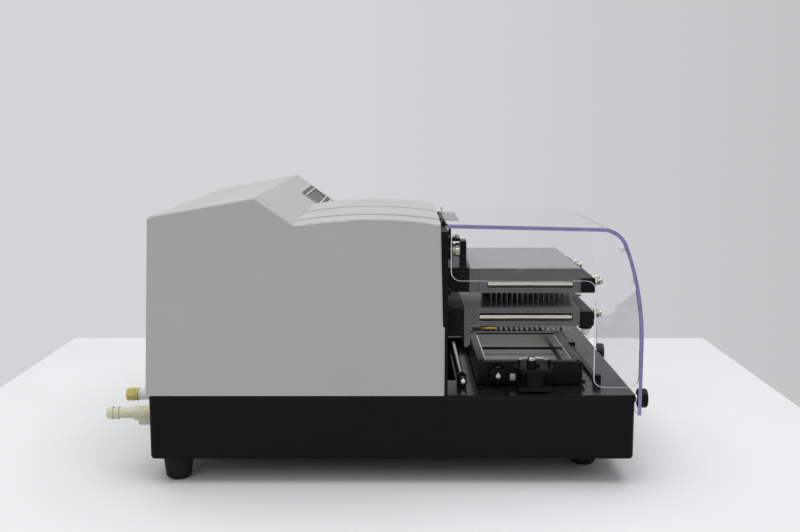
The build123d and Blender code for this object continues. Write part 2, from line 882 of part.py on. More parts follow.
with BuildPart() as dispense_clamp_screws:
    start = -dispense_front_y
    for length, radius in clamp_steps:
        with BuildSketch(Plane.XZ.offset(start)):
            with Locations(*[(x, dispense_z + clamp_rise) for x in clamp_x]):
                Circle(radius)
        extrude(amount=length)
        start += length
    with BuildSketch(Plane.XZ.offset(start)):
        with Locations(*[(x, dispense_z + clamp_rise) for x in clamp_x]):
            RegularPolygon(clamp_hex_radius, clamp_sides)
    extrude(amount=clamp_hex)
    with BuildSketch(Plane.XZ.offset(start + clamp_hex)):
        with Locations(*[(x, dispense_z + clamp_rise) for x in clamp_x]):
            Circle(clamp_tip_radius)
    extrude(amount=clamp_tip)
dispense_clamp_screws.part.label = "dispense_clamp_screws"
export_step(dispense_clamp_screws.part, "parts/dispense_clamp_screws.step")

with BuildPart() as end_nozzle:
    with BuildSketch(Plane.XZ.offset(-end_nozzle_y)):
        with BuildLine():
            Polyline(
                (end_nozzle_x, dispense_z),
                (end_nozzle_x + end_nozzle_flange_radius, dispense_z),
                (end_nozzle_x + end_nozzle_flange_radius, dispense_z - end_nozzle_flange),
                (end_nozzle_x + end_nozzle_radius, dispense_z - end_nozzle_flange),
                (end_nozzle_x + end_nozzle_radius, dispense_z - end_nozzle_length + end_nozzle_flange),
                (end_nozzle_x + end_nozzle_tip_radius, dispense_z - end_nozzle_length),
                (end_nozzle_x, dispense_z - end_nozzle_length),
                close=True,
            )
        make_face()
    revolve(axis=Axis((end_nozzle_x, end_nozzle_y, 0), (0, 0, 1)))
end_nozzle.part.label = "end_nozzle"
export_step(end_nozzle.part, "parts/end_nozzle.step")

# Aspirate manifold rides above the dispense manifold on the same two shafts
with BuildPart() as aspirate_manifold:
    with BuildSketch(Plane.XY.offset(aspirate_z)):
        with Locations((head_x, (aspirate_front_y + aspirate_back_y) / 2)):
            Rectangle(head_width, aspirate_back_y - aspirate_front_y)
    extrude(amount=aspirate_height)
    chamfer(aspirate_manifold.faces().sort_by(Axis.Z)[-1].edges(), bar_edge)
    for side in (-1, 1):
        with BuildSketch(Plane.YZ.offset(head_x + side * head_width / 2)):
            with Locations((aspirate_channel_y, aspirate_channel_z)):
                RectangleRounded(aspirate_channel_length, channel_height, channel_corner)
            with Locations((aspirate_back_y - seam_setback, aspirate_z + aspirate_height / 2)):
                Rectangle(seam_width, aspirate_height)
        extrude(amount=-side * channel_depth, mode=Mode.SUBTRACT)
aspirate_manifold.part.label = "aspirate_manifold"
export_step(aspirate_manifold.part, "parts/aspirate_manifold.step")

with BuildPart() as aspirate_tubes:
    with BuildSketch(Plane.XY.offset(aspirate_z)):
        with Locations(*[(x, y) for x in tube_x for y in tube_y]):
            Rectangle(tube_side, tube_side)
    extrude(amount=-aspirate_tube_length)
aspirate_tubes.part.label = "aspirate_tubes"
export_step(aspirate_tubes.part, "parts/aspirate_tubes.step")

with BuildPart() as aspirate_channel_rods:
    for side in (-1, 1):
        with BuildSketch(Plane.XZ.offset(-aspirate_channel_y)):
            with Locations((head_x + side * (head_width - channel_depth) / 2, aspirate_channel_z)):
                Circle(rod_radius)
        extrude(amount=aspirate_channel_length / 2 - rod_end_gap, both=True)
aspirate_channel_rods.part.label = "aspirate_channel_rods"
export_step(aspirate_channel_rods.part, "parts/aspirate_channel_rods.step")

with BuildPart() as aspirate_yoke:
    with BuildSketch(Plane.XY.offset(aspirate_top - aspirate_yoke_height)):
        with Locations((head_x, (aspirate_back_y + yoke_back_y) / 2)):
            Rectangle(head_width, yoke_back_y - aspirate_back_y)
    extrude(amount=aspirate_yoke_height)
    with BuildSketch(Plane.XY.offset(aspirate_arm_z)):
        with Locations(*[(x, (yoke_back_y + shaft_y) / 2) for x, _ in shaft_spots]):
            Rectangle(arm_width, shaft_y - yoke_back_y)
        with Locations((head_x, shaft_y)):
            Rectangle(crossbar_length, crossbar_depth)
    extrude(amount=arm_height)
    with BuildSketch(Plane.XY.offset(aspirate_arm_z)):
        with Locations(*shaft_spots):
            Circle(shaft_radius + shaft_clearance)
        with Locations(aspirate_screw):
            Circle(screw_radius + shaft_clearance)
        with Locations(dispense_screw):
            Circle(screw_radius + seat_clearance)
    extrude(amount=arm_height, mode=Mode.SUBTRACT)
    with BuildSketch(Plane.XZ.offset(-suction_y)):
        with Locations((suction_x, aspirate_top)):
            Rectangle(suction_width, suction_height, align=(Align.CENTER, Align.MIN))
        with Locations((suction_x, aspirate_top + suction_rise)):
            Circle(suction_bore, mode=Mode.SUBTRACT)
    extrude(amount=suction_depth)
    chamfer(aspirate_yoke.edges().filter_by(Axis.Y).group_by(Axis.Z)[-1], bar_edge)
aspirate_yoke.part.label = "aspirate_yoke"
export_step(aspirate_yoke.part, "parts/aspirate_yoke.step")

with BuildPart() as aspirate_front_bar:
    with BuildSketch(Plane.XZ.offset(-aspirate_front_y)):
        with Locations((head_x, aspirate_z + bar_height / 2)):
            Rectangle(head_width, bar_height)
        with Locations(*[(x, aspirate_z + clamp_rise) for x in clamp_x]):
            Circle(clamp_stud_radius + shaft_clearance, mode=Mode.SUBTRACT)
    extrude(amount=bar_depth)
    chamfer(
        aspirate_front_bar.faces().sort_by(Axis.Y)[0].edges().filter_by(Axis.X),
        bar_edge,
    )
aspirate_front_bar.part.label = "aspirate_front_bar"
export_step(aspirate_front_bar.part, "parts/aspirate_front_bar.step")

with BuildPart() as aspirate_clamp_screws:
    start = -aspirate_front_y
    for length, radius in clamp_steps:
        with BuildSketch(Plane.XZ.offset(start)):
            with Locations(*[(x, aspirate_z + clamp_rise) for x in clamp_x]):
                Circle(radius)
        extrude(amount=length)
        start += length
    with BuildSketch(Plane.XZ.offset(start)):
        with Locations(*[(x, aspirate_z + clamp_rise) for x in clamp_x]):
            RegularPolygon(clamp_hex_radius, clamp_sides)
    extrude(amount=clamp_hex)
    with BuildSketch(Plane.XZ.offset(start + clamp_hex)):
        with Locations(*[(x, aspirate_z + clamp_rise) for x in clamp_x]):
            Circle(clamp_tip_radius)
    extrude(amount=clamp_tip)
aspirate_clamp_screws.part.label = "aspirate_clamp_screws"
export_step(aspirate_clamp_screws.part, "parts/aspirate_clamp_screws.step")

with BuildPart() as suction_fitting:
    for radius, length in ((suction_radius, suction_collar), (suction_neck_radius, suction_length)):
        with BuildSketch(Plane.XZ.offset(-suction_y)):
            with Locations((suction_x, aspirate_top + suction_rise)):
                Circle(radius)
                Circle(suction_bore, mode=Mode.SUBTRACT)
        extrude(amount=-length)
suction_fitting.part.label = "suction_fitting"
export_step(suction_fitting.part, "parts/suction_fitting.step")

# Shield: one bent sheet, two side panels, grips and the hinge
with BuildPart() as shield_sheet:
    with BuildSketch(Plane.YZ.offset(cover_left)):
        with BuildLine():
            top = Line(shield_rear, shield_bend)
            bend = TangentArc(shield_bend, shield_brow, tangent=top % 1)
            brow = TangentArc(shield_brow, shield_chin, tangent=bend % 1)
            Line(shield_chin, shield_toe)
            offset(amount=shield_thickness, side=Side.LEFT)
        make_face()
    extrude(amount=shield_right - cover_left)
    with BuildSketch(Plane.XZ.offset(-shield_front_y)):
        with Locations(*grip_spots):
            Circle(grip_stud_radius + shaft_clearance)
    extrude(amount=-shield_thickness, mode=Mode.SUBTRACT)
shield_sheet.part.label = "shield_sheet"
export_step(shield_sheet.part, "parts/shield_sheet.step")

with BuildPart() as shield_side_panels:
    for left_x in (cover_left, shield_right - panel_thickness):
        with BuildSketch(Plane.YZ.offset(left_x)) as panel_outline:
            with BuildLine():
                top = Line(shield_rear, shield_bend)
                bend = TangentArc(shield_bend, shield_brow, tangent=top % 1)
                brow = TangentArc(shield_brow, shield_chin, tangent=bend % 1)
                Polyline(shield_chin, shield_toe, (shield_rear[0], shield_toe[1]), shield_rear)
            make_face()
            offset(amount=-shield_thickness - glue_line, kind=Kind.INTERSECTION)
            with Locations((panel_leg_y, panel_window_z)):
                Rectangle(base_length, base_length, align=(Align.MIN, Align.MAX), mode=Mode.SUBTRACT)
            with Locations((shield_rear[0], base_top + panel_bottom)):
                Rectangle(
                    base_length, base_length, align=(Align.CENTER, Align.MAX), mode=Mode.SUBTRACT
                )
            fillet(
                panel_outline.vertices().filter_by_position(
                    Axis.Z, base_top + panel_bottom - glue_line, panel_window_z + glue_line
                ).filter_by_position(Axis.Y, panel_leg_y - glue_line, shield_rear[0]),
                panel_window_radius,
            )
        extrude(amount=panel_thickness)
shield_side_panels.part.label = "shield_side_panels"
export_step(shield_side_panels.part, "parts/shield_side_panels.step")

with BuildPart() as shield_grips:
    with BuildSketch(Plane.XZ.offset(-shield_front_y)):
        with Locations(*grip_spots):
            Circle(grip_radius)
    extrude(amount=grip_depth)
    chamfer(shield_grips.faces().sort_by(Axis.Y)[:2].edges(), bar_edge)
    with BuildSketch(Plane.XZ.offset(-shield_front_y)):
        with Locations(*grip_spots):
            Circle(grip_stud_radius)
    extrude(amount=-shield_thickness)
shield_grips.part.label = "shield_grips"
export_step(shield_grips.part, "parts/shield_grips.step")

with BuildPart() as hinge_bracket:
    with BuildSketch(Plane.XY.offset(base_top + bay_wall_height)):
        with Locations((hinge_x, (bay_face_y + hinge_y + hinge_knuckle_radius) / 2)):
            Rectangle(hinge_length, hinge_y + hinge_knuckle_radius - bay_face_y)
    extrude(amount=hinge_z - hinge_knuckle_radius - running_clearance - base_top - bay_wall_height)
    for start in knuckle_starts[::2]:
        with BuildSketch(Plane.YZ.offset(start)):
            with Locations((hinge_y, hinge_z)):
                Circle(hinge_knuckle_radius)
                Rectangle(
                    2 * hinge_knuckle_radius,
                    hinge_z - base_top - bay_wall_height - bar_edge,
                    align=(Align.CENTER, Align.MAX),
                )
                Circle(hinge_pin_radius + shaft_clearance, mode=Mode.SUBTRACT)
        extrude(amount=knuckle_length)
hinge_bracket.part.label = "hinge_bracket"
export_step(hinge_bracket.part, "parts/hinge_bracket.step")

with BuildPart() as hinge_leaf:
    with BuildSketch(Plane.YZ.offset(hinge_x - hinge_length / 2)):
        with BuildLine():
            Polyline(*leaf_corners, close=True)
        make_face()
    extrude(amount=hinge_length)
    for start in knuckle_starts[1::2]:
        with BuildSketch(Plane.YZ.offset(start)):
            with Locations((hinge_y, hinge_z)):
                Circle(hinge_knuckle_radius)
            with BuildLine():
                Polyline(
                    (hinge_y, leaf_corners[0][1]),
                    leaf_corners[0],
                    leaf_corners[-1],
                    (hinge_y, leaf_corners[-1][1]),
                    close=True,
                )
            make_face()
            with Locations((hinge_y, hinge_z)):
                Circle(hinge_pin_radius + shaft_clearance, mode=Mode.SUBTRACT)
        extrude(amount=knuckle_length)
hinge_leaf.part.label = "hinge_leaf"
export_step(hinge_leaf.part, "parts/hinge_leaf.step")

with BuildPart() as hinge_pin:
    with BuildSketch(Plane.YZ.offset(hinge_x - hinge_length / 2)):
        with Locations((hinge_y, hinge_z)):
            Circle(hinge_pin_radius)
    extrude(amount=hinge_length)
hinge_pin.part.label = "hinge_pin"
export_step(hinge_pin.part, "parts/hinge_pin.step")

# Guide rail along the deck
with BuildPart() as guide_rail:
    with BuildSketch(Plane.XZ.offset(-rail_y)):
        with Locations((rail_left, rail_z)):
            Rectangle(rail_right - rail_left, rail_radius, align=(Align.MIN, Align.MIN))
            Rectangle(
                rail_neck_length + rail_ball_radius, rail_neck_radius, align=(Align.MAX, Align.MIN)
            )
            Rectangle(rail_collar_length, rail_collar_radius, align=(Align.MIN, Align.MIN))
        with Locations((rail_left - rail_neck_length - rail_ball_radius, rail_z)):
            Circle(rail_ball_radius)
            Rectangle(
                3 * rail_ball_radius,
                3 * rail_ball_radius,
                align=(Align.CENTER, Align.MAX),
                mode=Mode.SUBTRACT,
            )
    revolve(axis=Axis((0, rail_y, rail_z), (1, 0, 0)))
guide_rail.part.label = "guide_rail"
export_step(guide_rail.part, "parts/guide_rail.step")

with BuildPart() as rail_supports:
    for start in (rail_left + support_length / 2, rail_right - support_length):
        with BuildSketch(Plane.YZ.offset(start)):
            with Locations((rail_y, base_top)):
                Rectangle(
                    2 * rail_radius + 2 * liner_wall,
                    rail_height + rail_radius + liner_wall,
                    align=(Align.CENTER, Align.MIN),
                )
            with Locations((rail_y, rail_z)):
                Circle(rail_radius + shaft_clearance, mode=Mode.SUBTRACT)
        extrude(amount=support_length)
rail_supports.part.label = "rail_supports"
export_step(rail_supports.part, "parts/rail_supports.step")

with BuildPart() as front_guide:
    with BuildSketch(Plane.XY.offset(base_top)):
        with Locations(((rail_left + rail_right) / 2, guide_y)):
            Rectangle(rail_right - rail_left, guide_width)
    extrude(amount=guide_height)
    with BuildSketch(Plane.XY.offset(base_top)):
        with Locations((rail_left, guide_y - guide_width / 2)):
            Rectangle(guide_stop_length, guide_stop_width, align=(Align.MIN, Align.MIN))
    extrude(amount=guide_stop_height)
front_guide.part.label = "front_guide"
export_step(front_guide.part, "parts/front_guide.step")

# Plate carriage: floor, nest for the plate, tongue for the cam latch
with BuildPart() as carriage_frame:
    with BuildSketch(Plane.XY.offset(carriage_bottom)):
        with Locations((carriage_left, head_y)):
            Rectangle(
                pocket_outer_x - carriage_left, pocket_outer_width, align=(Align.MIN, Align.CENTER)
            )
            Rectangle(
                latch_reach + latch_hub_radius, tongue_width, align=(Align.MAX, Align.CENTER)
            )
        with Locations((pocket_outer_x, clamp_y)):
            Rectangle(
                clamp_shelf, clamp_lever_length + 2 * clamp_shelf, align=(Align.MIN, Align.CENTER)
            )
        with Locations((pocket_x, head_y)):
            Rectangle(
                pocket_length - 2 * seat_ledge, pocket_width - 2 * seat_ledge, mode=Mode.SUBTRACT
            )
    extrude(amount=carriage_plate)
    with BuildSketch(Plane.XY.offset(carriage_top)):
        with Locations((pocket_x, head_y)):
            Rectangle(pocket_length + 2 * pocket_wall, pocket_outer_width)
            Rectangle(
                pocket_length - 2 * seat_ledge, pocket_width - 2 * seat_ledge, mode=Mode.SUBTRACT
            )
    extrude(amount=seat_height)
    with BuildSketch(Plane.XY.offset(carriage_top + seat_height)):
        with Locations((pocket_x, head_y)):
            Rectangle(pocket_length + 2 * pocket_wall, pocket_outer_width)
            Rectangle(pocket_length, pocket_width, mode=Mode.SUBTRACT)
            Rectangle(pocket_length / 3, base_length, mode=Mode.SUBTRACT)
        with Locations((pocket_outer_x, clamp_nub_y)):
            Rectangle(4 * pocket_wall, clamp_lever_width + 2 * pocket_wall, mode=Mode.SUBTRACT)
    extrude(amount=pocket_wall_height - seat_height)
    for shoe_x in shoe_spots:
        with BuildSketch(Plane.YZ.offset(shoe_x - shoe_length / 2)):
            with Locations((carriage_front_y, base_top + running_clearance)):
                Rectangle(
                    carriage_front_y - guide_y + shoe_width / 2,
                    carriage_top - base_top - running_clearance,
                    align=(Align.MAX, Align.MIN),
                )
            with Locations((guide_y, base_top)):
                Rectangle(
                    guide_width + 2 * running_clearance,
                    2 * (guide_height + running_clearance),
                    mode=Mode.SUBTRACT,
                )
        extrude(amount=shoe_length)
    with BuildSketch(Plane.XY.offset(carriage_top)):
        with Locations((clamp_x_line, clamp_pivot_y)):
            Circle(clamp_pivot_radius)
    extrude(amount=clamp_height + 2 * running_clearance)
    with BuildSketch(Plane.XY.offset(carriage_top)):
        with Locations((latch_x, head_y)):
            Circle(latch_bore)
    extrude(amount=latch_hub_height - running_clearance)
carriage_frame.part.label = "carriage_frame"
export_step(carriage_frame.part, "parts/carriage_frame.step")

with BuildPart() as rail_slides:
    for slide_x in slide_spots:
        with BuildSketch(Plane.YZ.offset(slide_x - slide_length / 2)):
            with Locations((carriage_rear_y, base_top + seat_clearance)):
                Rectangle(
                    belt_slot_y + drive_arm_thickness / 2 - carriage_rear_y,
                    slide_height - seat_clearance,
                    align=(Align.MIN, Align.MIN),
                )
            if slide_x == drive_x:
                with Locations((belt_slot_y, base_top + slide_height)):
                    Rectangle(
                        drive_arm_thickness,
                        base_top + slide_height - belt_z + belt_width / 2,
                        align=(Align.CENTER, Align.MAX),
                    )
                with Locations((belt_slot_y, belt_z)):
                    Rectangle(
                        belt_thickness + 2 * running_clearance,
                        belt_width + 2 * running_clearance,
                        mode=Mode.SUBTRACT,
                    )
            with Locations((rail_y, rail_z)):
                Circle(rail_radius + shaft_clearance, mode=Mode.SUBTRACT)
        extrude(amount=slide_length)
rail_slides.part.label = "rail_slides"
export_step(rail_slides.part, "parts/rail_slides.step")

with BuildPart() as plate_clamp:
    with BuildSketch(Plane.XY.offset(carriage_top + running_clearance)):
        with Locations((clamp_x_line, clamp_y)):
            SlotCenterToCenter(clamp_lever_length - clamp_lever_width, clamp_lever_width, rotation=90)
        with Locations((clamp_x_line, clamp_nub_y)):
            Rectangle(
                clamp_x_line - pocket_outer_x + pocket_wall,
                clamp_lever_width,
                align=(Align.MAX, Align.CENTER),
            )
        with Locations((clamp_x_line, clamp_pivot_y)):
            Circle(clamp_pivot_radius + shaft_clearance, mode=Mode.SUBTRACT)
    extrude(amount=clamp_height)
    with BuildSketch(Plane.XY.offset(carriage_top)):
        with Locations((pocket_outer_x, clamp_nub_y)):
            Rectangle(2 * pocket_wall + 2 * running_clearance, 2 * clamp_lever_width)
    extrude(amount=seat_height + running_clearance, mode=Mode.SUBTRACT)
plate_clamp.part.label = "plate_clamp"
export_step(plate_clamp.part, "parts/plate_clamp.step")

# Priming trough on the carriage
with BuildPart() as trough_frame:
    with BuildSketch(Plane.XY.offset(carriage_top)):
        with Locations((head_x, trough_y)):
            Rectangle(trough_length, trough_width)
            Rectangle(trough_inner_length, trough_inner_width, mode=Mode.SUBTRACT)
    extrude(amount=trough_height)
    chamfer(trough_frame.faces().sort_by(Axis.Z)[-1].outer_wire().edges(), bar_edge)
    with BuildSketch(Plane.YZ.offset(carriage_left)):
        with Locations((knob_y, knob_z)):
            Circle(knob_shaft_radius + shaft_clearance)
    extrude(amount=trough_end_wall - liner_wall, mode=Mode.SUBTRACT)
trough_frame.part.label = "trough_frame"
export_step(trough_frame.part, "parts/trough_frame.step")

with BuildPart() as trough_liner:
    with BuildSketch(Plane.XY.offset(carriage_top)):
        with Locations((head_x, trough_y)):
            Rectangle(trough_inner_length - 2 * glue_line, trough_inner_width - 2 * glue_line)
    extrude(amount=trough_height - liner_drop)
    with BuildSketch(Plane.XY.offset(carriage_top + liner_wall)):
        with Locations((head_x, trough_y)):
            Rectangle(trough_inner_length - 2 * liner_wall, trough_inner_width - 2 * liner_wall)
    extrude(amount=trough_height, mode=Mode.SUBTRACT)
    with BuildSketch(Plane.XY.offset(carriage_top + liner_wall)):
        with Locations(
            (head_x - trough_inner_length / 4, trough_y), (head_x + trough_inner_length / 4, trough_y)
        ):
            Rectangle(groove_width, trough_inner_width - 4 * liner_wall)
    extrude(amount=-groove_depth, mode=Mode.SUBTRACT)
trough_liner.part.label = "trough_liner"
export_step(trough_liner.part, "parts/trough_liner.step")

with BuildPart() as trough_knob:
    with BuildSketch(Plane.YZ.offset(carriage_left - running_clearance)):
        with Locations((knob_y, knob_z)):
            Circle(knob_radius)
            with PolarLocations(knob_radius, knob_lobes):
                Circle(knob_lobe_radius, mode=Mode.SUBTRACT)
    extrude(amount=-knob_length)
    chamfer(trough_knob.faces().sort_by(Axis.X)[0].edges(), knob_chamfer)
    with BuildSketch(Plane.YZ.offset(carriage_left - running_clearance)):
        with Locations((knob_y, knob_z)):
            Circle(knob_shaft_radius)
    extrude(amount=trough_end_wall - liner_wall)
trough_knob.part.label = "trough_knob"
export_step(trough_knob.part, "parts/trough_knob.step")

with BuildPart() as cam_latch:
    with BuildSketch(Plane.XY.offset(carriage_top + running_clearance)):
        with Locations((latch_x, head_y)):
            Circle(latch_hub_radius)
    extrude(amount=latch_hub_height)
    with BuildSketch(Plane.XY.offset(latch_disk_z)):
        with Locations((latch_x, head_y)):
            Circle(latch_disk_radius)
    extrude(amount=latch_disk_thickness)
    with BuildSketch(Plane.XY.offset(latch_disk_z + latch_disk_thickness)):
        with Locations((latch_x - latch_post_offset, head_y + latch_post_radius)):
            Circle(latch_post_radius)
    extrude(amount=latch_post_height)
    chamfer(cam_latch.edges().group_by(Axis.Z)[-1], latch_edge)
    with BuildSketch(Plane.XY.offset(carriage_top)):
        with Locations((latch_x, head_y)):
            Circle(latch_bore + shaft_clearance)
    extrude(amount=latch_hub_height, mode=Mode.SUBTRACT)
cam_latch.part.label = "cam_latch"
export_step(cam_latch.part, "parts/cam_latch.step")

# Carriage drive under the deck
with BuildPart() as drive_belt:
    with BuildSketch(Plane.XY.offset(belt_z - belt_width / 2)):
        with Locations((0, pulley_y)):
            SlotCenterToCenter(pulley_spread, 2 * (pulley_radius + belt_thickness + shaft_clearance))
            SlotCenterToCenter(
                pulley_spread, 2 * (pulley_radius + shaft_clearance), mode=Mode.SUBTRACT
            )
    extrude(amount=belt_width)
drive_belt.part.label = "drive_belt"
export_step(drive_belt.part, "parts/drive_belt.step")

with BuildPart() as drive_pulley:
    with BuildSketch(Plane.XY.offset(belt_z - pulley_height / 2)):
        with Locations((pulley_spread / 2, pulley_y)):
            Circle(pulley_radius)
    extrude(amount=pulley_height)
    with BuildSketch(Plane.XY.offset(belt_z - pulley_height / 2)):
        with Locations((pulley_spread / 2, pulley_y)):
            Circle(pulley_bore)
    extrude(amount=-pulley_height)
drive_pulley.part.label = "drive_pulley"
export_step(drive_pulley.part, "parts/drive_pulley.step")

with BuildPart() as belt_motor:
    with BuildSketch(Plane.XY.offset(pan_floor)):
        with Locations((pulley_spread / 2, pulley_y)):
            RectangleRounded(motor_size, motor_size, base_corner)
    extrude(amount=belt_z - pulley_height / 2 - running_clearance - pan_floor)
    with BuildSketch(Plane.XY.offset(belt_z - pulley_height - pulley_height / 2)):
        with Locations((pulley_spread / 2, pulley_y)):
            Circle(pulley_bore + shaft_clearance)
    extrude(amount=2 * pulley_height, mode=Mode.SUBTRACT)
belt_motor.part.label = "belt_motor"
export_step(belt_motor.part, "parts/belt_motor.step")

with BuildPart() as idler_pulley:
    with BuildSketch(Plane.XY.offset(belt_z - pulley_height / 2)):
        with Locations((-pulley_spread / 2, pulley_y)):
            Circle(pulley_radius)
            Circle(pulley_bore + shaft_clearance, mode=Mode.SUBTRACT)
    extrude(amount=pulley_height)
idler_pulley.part.label = "idler_pulley"
export_step(idler_pulley.part, "parts/idler_pulley.step")

with BuildPart() as idler_post:
    with BuildSketch(Plane.XY.offset(pan_floor)):
        with Locations((-pulley_spread / 2, pulley_y)):
            Circle(pulley_bore)
    extrude(amount=belt_z + pulley_height / 2 - pan_floor)
    with BuildSketch(Plane.XY.offset(pan_floor)):
        with Locations((-pulley_spread / 2, pulley_y)):
            Circle(pulley_radius)
    extrude(amount=belt_z - pulley_height / 2 - running_clearance - pan_floor)
idler_post.part.label = "idler_post"
export_step(idler_post.part, "parts/idler_post.step")

# Rear panel: each coupling is a revolved outline of (reach, radius) from its nut to its mouth
neck_outline = (
    (-base_wall - fitting_nut, 0),
    (-base_wall - fitting_nut, fitting_nut_radius),
    (-base_wall, fitting_nut_radius),
    (-base_wall, fitting_neck_radius),
    (0, fitting_neck_radius),
)
barb_outline = [
    (0, barb_body_radius),
    (barb_body_length, barb_body_radius),
    (barb_body_length, barb_radius),
    (rear_reach - barb_ridges * barb_pitch, barb_radius),
]
for i in range(barb_ridges, 0, -1):
    barb_outline += [
        (rear_reach - i * barb_pitch, barb_ridge_radius),
        (rear_reach - (i - 1) * barb_pitch, barb_radius),
    ]

with BuildPart() as inlet_coupling:
    with BuildSketch(Plane.YZ.offset(barb_x)):
        with BuildLine():
            Polyline(
                *[(rear_y + reach, barb_spot[1] + radius) for reach, radius in neck_outline],
                *[(rear_y + reach, barb_spot[1] + radius) for reach, radius in barb_outline],
                (rear_y + rear_reach, barb_spot[1] + barb_bore),
                (rear_y, barb_spot[1] + barb_bore),
                (rear_y, barb_spot[1]),
                close=True,
            )
        make_face()
    revolve(axis=Axis((barb_x, 0, barb_spot[1]), (0, 1, 0)))
inlet_coupling.part.label = "inlet_coupling"
export_step(inlet_coupling.part, "parts/inlet_coupling.step")

with BuildPart() as waste_coupling:
    with BuildSketch(Plane.YZ.offset(waste_spot[0])):
        with BuildLine():
            Polyline(
                *[(rear_y + reach, waste_spot[1] + radius) for reach, radius in neck_outline],
                (rear_y, waste_spot[1] + waste_radius),
                (rear_y + waste_reach, waste_spot[1] + waste_radius),
                (rear_y + waste_reach, waste_spot[1] + barb_bore),
                (rear_y, waste_spot[1] + barb_bore),
                (rear_y, waste_spot[1]),
                close=True,
            )
        make_face()
    revolve(axis=Axis((waste_spot[0], 0, waste_spot[1]), (0, 1, 0)))
waste_coupling.part.label = "waste_coupling"
export_step(waste_coupling.part, "parts/waste_coupling.step")

with BuildPart() as vent_coupling:
    with BuildSketch(Plane.YZ.offset(cap_spot[0])):
        with BuildLine():
            Polyline(
                *[(rear_y + reach, cap_spot[1] + radius) for reach, radius in neck_outline],
                (rear_y, cap_spot[1] + vent_radius),
                (rear_y + vent_length, cap_spot[1] + vent_radius),
                (rear_y + vent_length, cap_spot[1]),
                close=True,
            )
        make_face()
    revolve(axis=Axis((cap_spot[0], 0, cap_spot[1]), (0, 1, 0)))
    with BuildSketch(Plane.XZ.offset(-rear_y - vent_length)):
        with Locations(cap_spot):
            RegularPolygon(cap_radius, cap_sides)
    extrude(amount=vent_length - cap_reach)
vent_coupling.part.label = "vent_coupling"
export_step(vent_coupling.part, "parts/vent_coupling.step")

with BuildPart() as power_entry_module:
    with BuildSketch(Plane.XZ.offset(-rear_y)):
        with Locations(inlet_spot):
            RectangleRounded(inlet_width + 2 * inlet_flange, inlet_height + 2 * inlet_flange, cover_wall)
    extrude(amount=-cover_lip)
    with BuildSketch(Plane.XZ.offset(-rear_y)):
        with Locations(inlet_spot):
            Rectangle(inlet_width - 2 * seat_clearance, inlet_height - 2 * seat_clearance)
    extrude(amount=inlet_height)
    with BuildSketch(Plane.XZ.offset(-rear_y - cover_lip)):
        with Locations(inlet_spot):
            Rectangle(inlet_width - inlet_flange, inlet_height - inlet_flange)
            with GridLocations(inlet_flange * 2, 0, 3, 1):
                Rectangle(liner_wall, inlet_flange, mode=Mode.SUBTRACT)
    extrude(amount=inlet_height - inlet_flange, mode=Mode.SUBTRACT)
power_entry_module.part.label = "power_entry_module"
export_step(power_entry_module.part, "parts/power_entry_module.step")

with BuildPart() as switch_bezel:
    with BuildSketch(Plane.XZ.offset(-rear_y)):
        with Locations(switch_spot):
            RectangleRounded(switch_width + inlet_flange, switch_height + inlet_flange, cover_lip)
    extrude(amount=-cover_lip)
    with BuildSketch(Plane.XZ.offset(-rear_y)):
        with Locations(switch_spot):
            Rectangle(switch_width - 2 * seat_clearance, switch_height - 2 * seat_clearance)
    extrude(amount=rocker_radius)
    with BuildSketch(Plane.XZ.offset(-rear_y - cover_lip)):
        with Locations(switch_spot):
            Rectangle(rocker_width + 2 * running_clearance, switch_height - 2 * liner_wall)
    extrude(amount=rocker_radius + cover_lip, mode=Mode.SUBTRACT)
    with BuildSketch(Plane.YZ.offset(switch_x)):
        with Locations((rear_y - rocker_inset, switch_spot[1])):
            Circle(rocker_pin_radius + shaft_clearance)
    extrude(
        amount=rocker_width / 2 + rocker_pin_length + running_clearance,
        both=True,
        mode=Mode.SUBTRACT,
    )
switch_bezel.part.label = "switch_bezel"
export_step(switch_bezel.part, "parts/switch_bezel.step")

rocker_back_y = rear_y - rocker_inset - rocker_half_depth
with BuildPart() as power_switch:
    with BuildSketch(Plane.YZ.offset(switch_x - rocker_width / 2)):
        with BuildLine():
            Polyline(
                (rocker_back_y, switch_spot[1] - rocker_half_height / 2),
                (rear_y + cover_lip, switch_spot[1] - rocker_half_height),
                (rear_y + cover_lip - liner_wall, switch_spot[1]),
                (rear_y + cover_lip, switch_spot[1] + rocker_half_height),
                (rocker_back_y, switch_spot[1] + rocker_half_height / 2),
                close=True,
            )
        make_face()
    extrude(amount=rocker_width)
    with BuildSketch(Plane.YZ.offset(switch_x)):
        with Locations((rear_y - rocker_inset, switch_spot[1])):
            Circle(rocker_pin_radius)
    extrude(amount=rocker_width / 2 + rocker_pin_length, both=True)
power_switch.part.label = "power_switch"
export_step(power_switch.part, "parts/power_switch.step")

with BuildPart() as serial_port:
    with BuildSketch(Plane.XZ.offset(-rear_y)):
        with Locations(port_spot):
            RectangleRounded(port_width + 2 * port_flange, port_height + port_reach, cover_lip)
    extrude(amount=-liner_wall)
    port_outer = (port_width - 2 * seat_clearance, port_height - 2 * seat_clearance)
    with BuildSketch(Plane.XZ.offset(-rear_y - port_reach)):
        with Locations(port_spot):
            Trapezoid(*port_outer, port_angle, rotation=180)
    extrude(amount=port_reach + 2 * base_wall)
    with BuildSketch(Plane.XZ.offset(-rear_y - port_reach)):
        with Locations(port_spot):
            Trapezoid(
                port_outer[0] - 2 * port_shell, port_outer[1] - 2 * port_shell, port_angle, rotation=180
            )
    extrude(amount=port_reach, mode=Mode.SUBTRACT)
serial_port.part.label = "serial_port"
export_step(serial_port.part, "parts/serial_port.step")

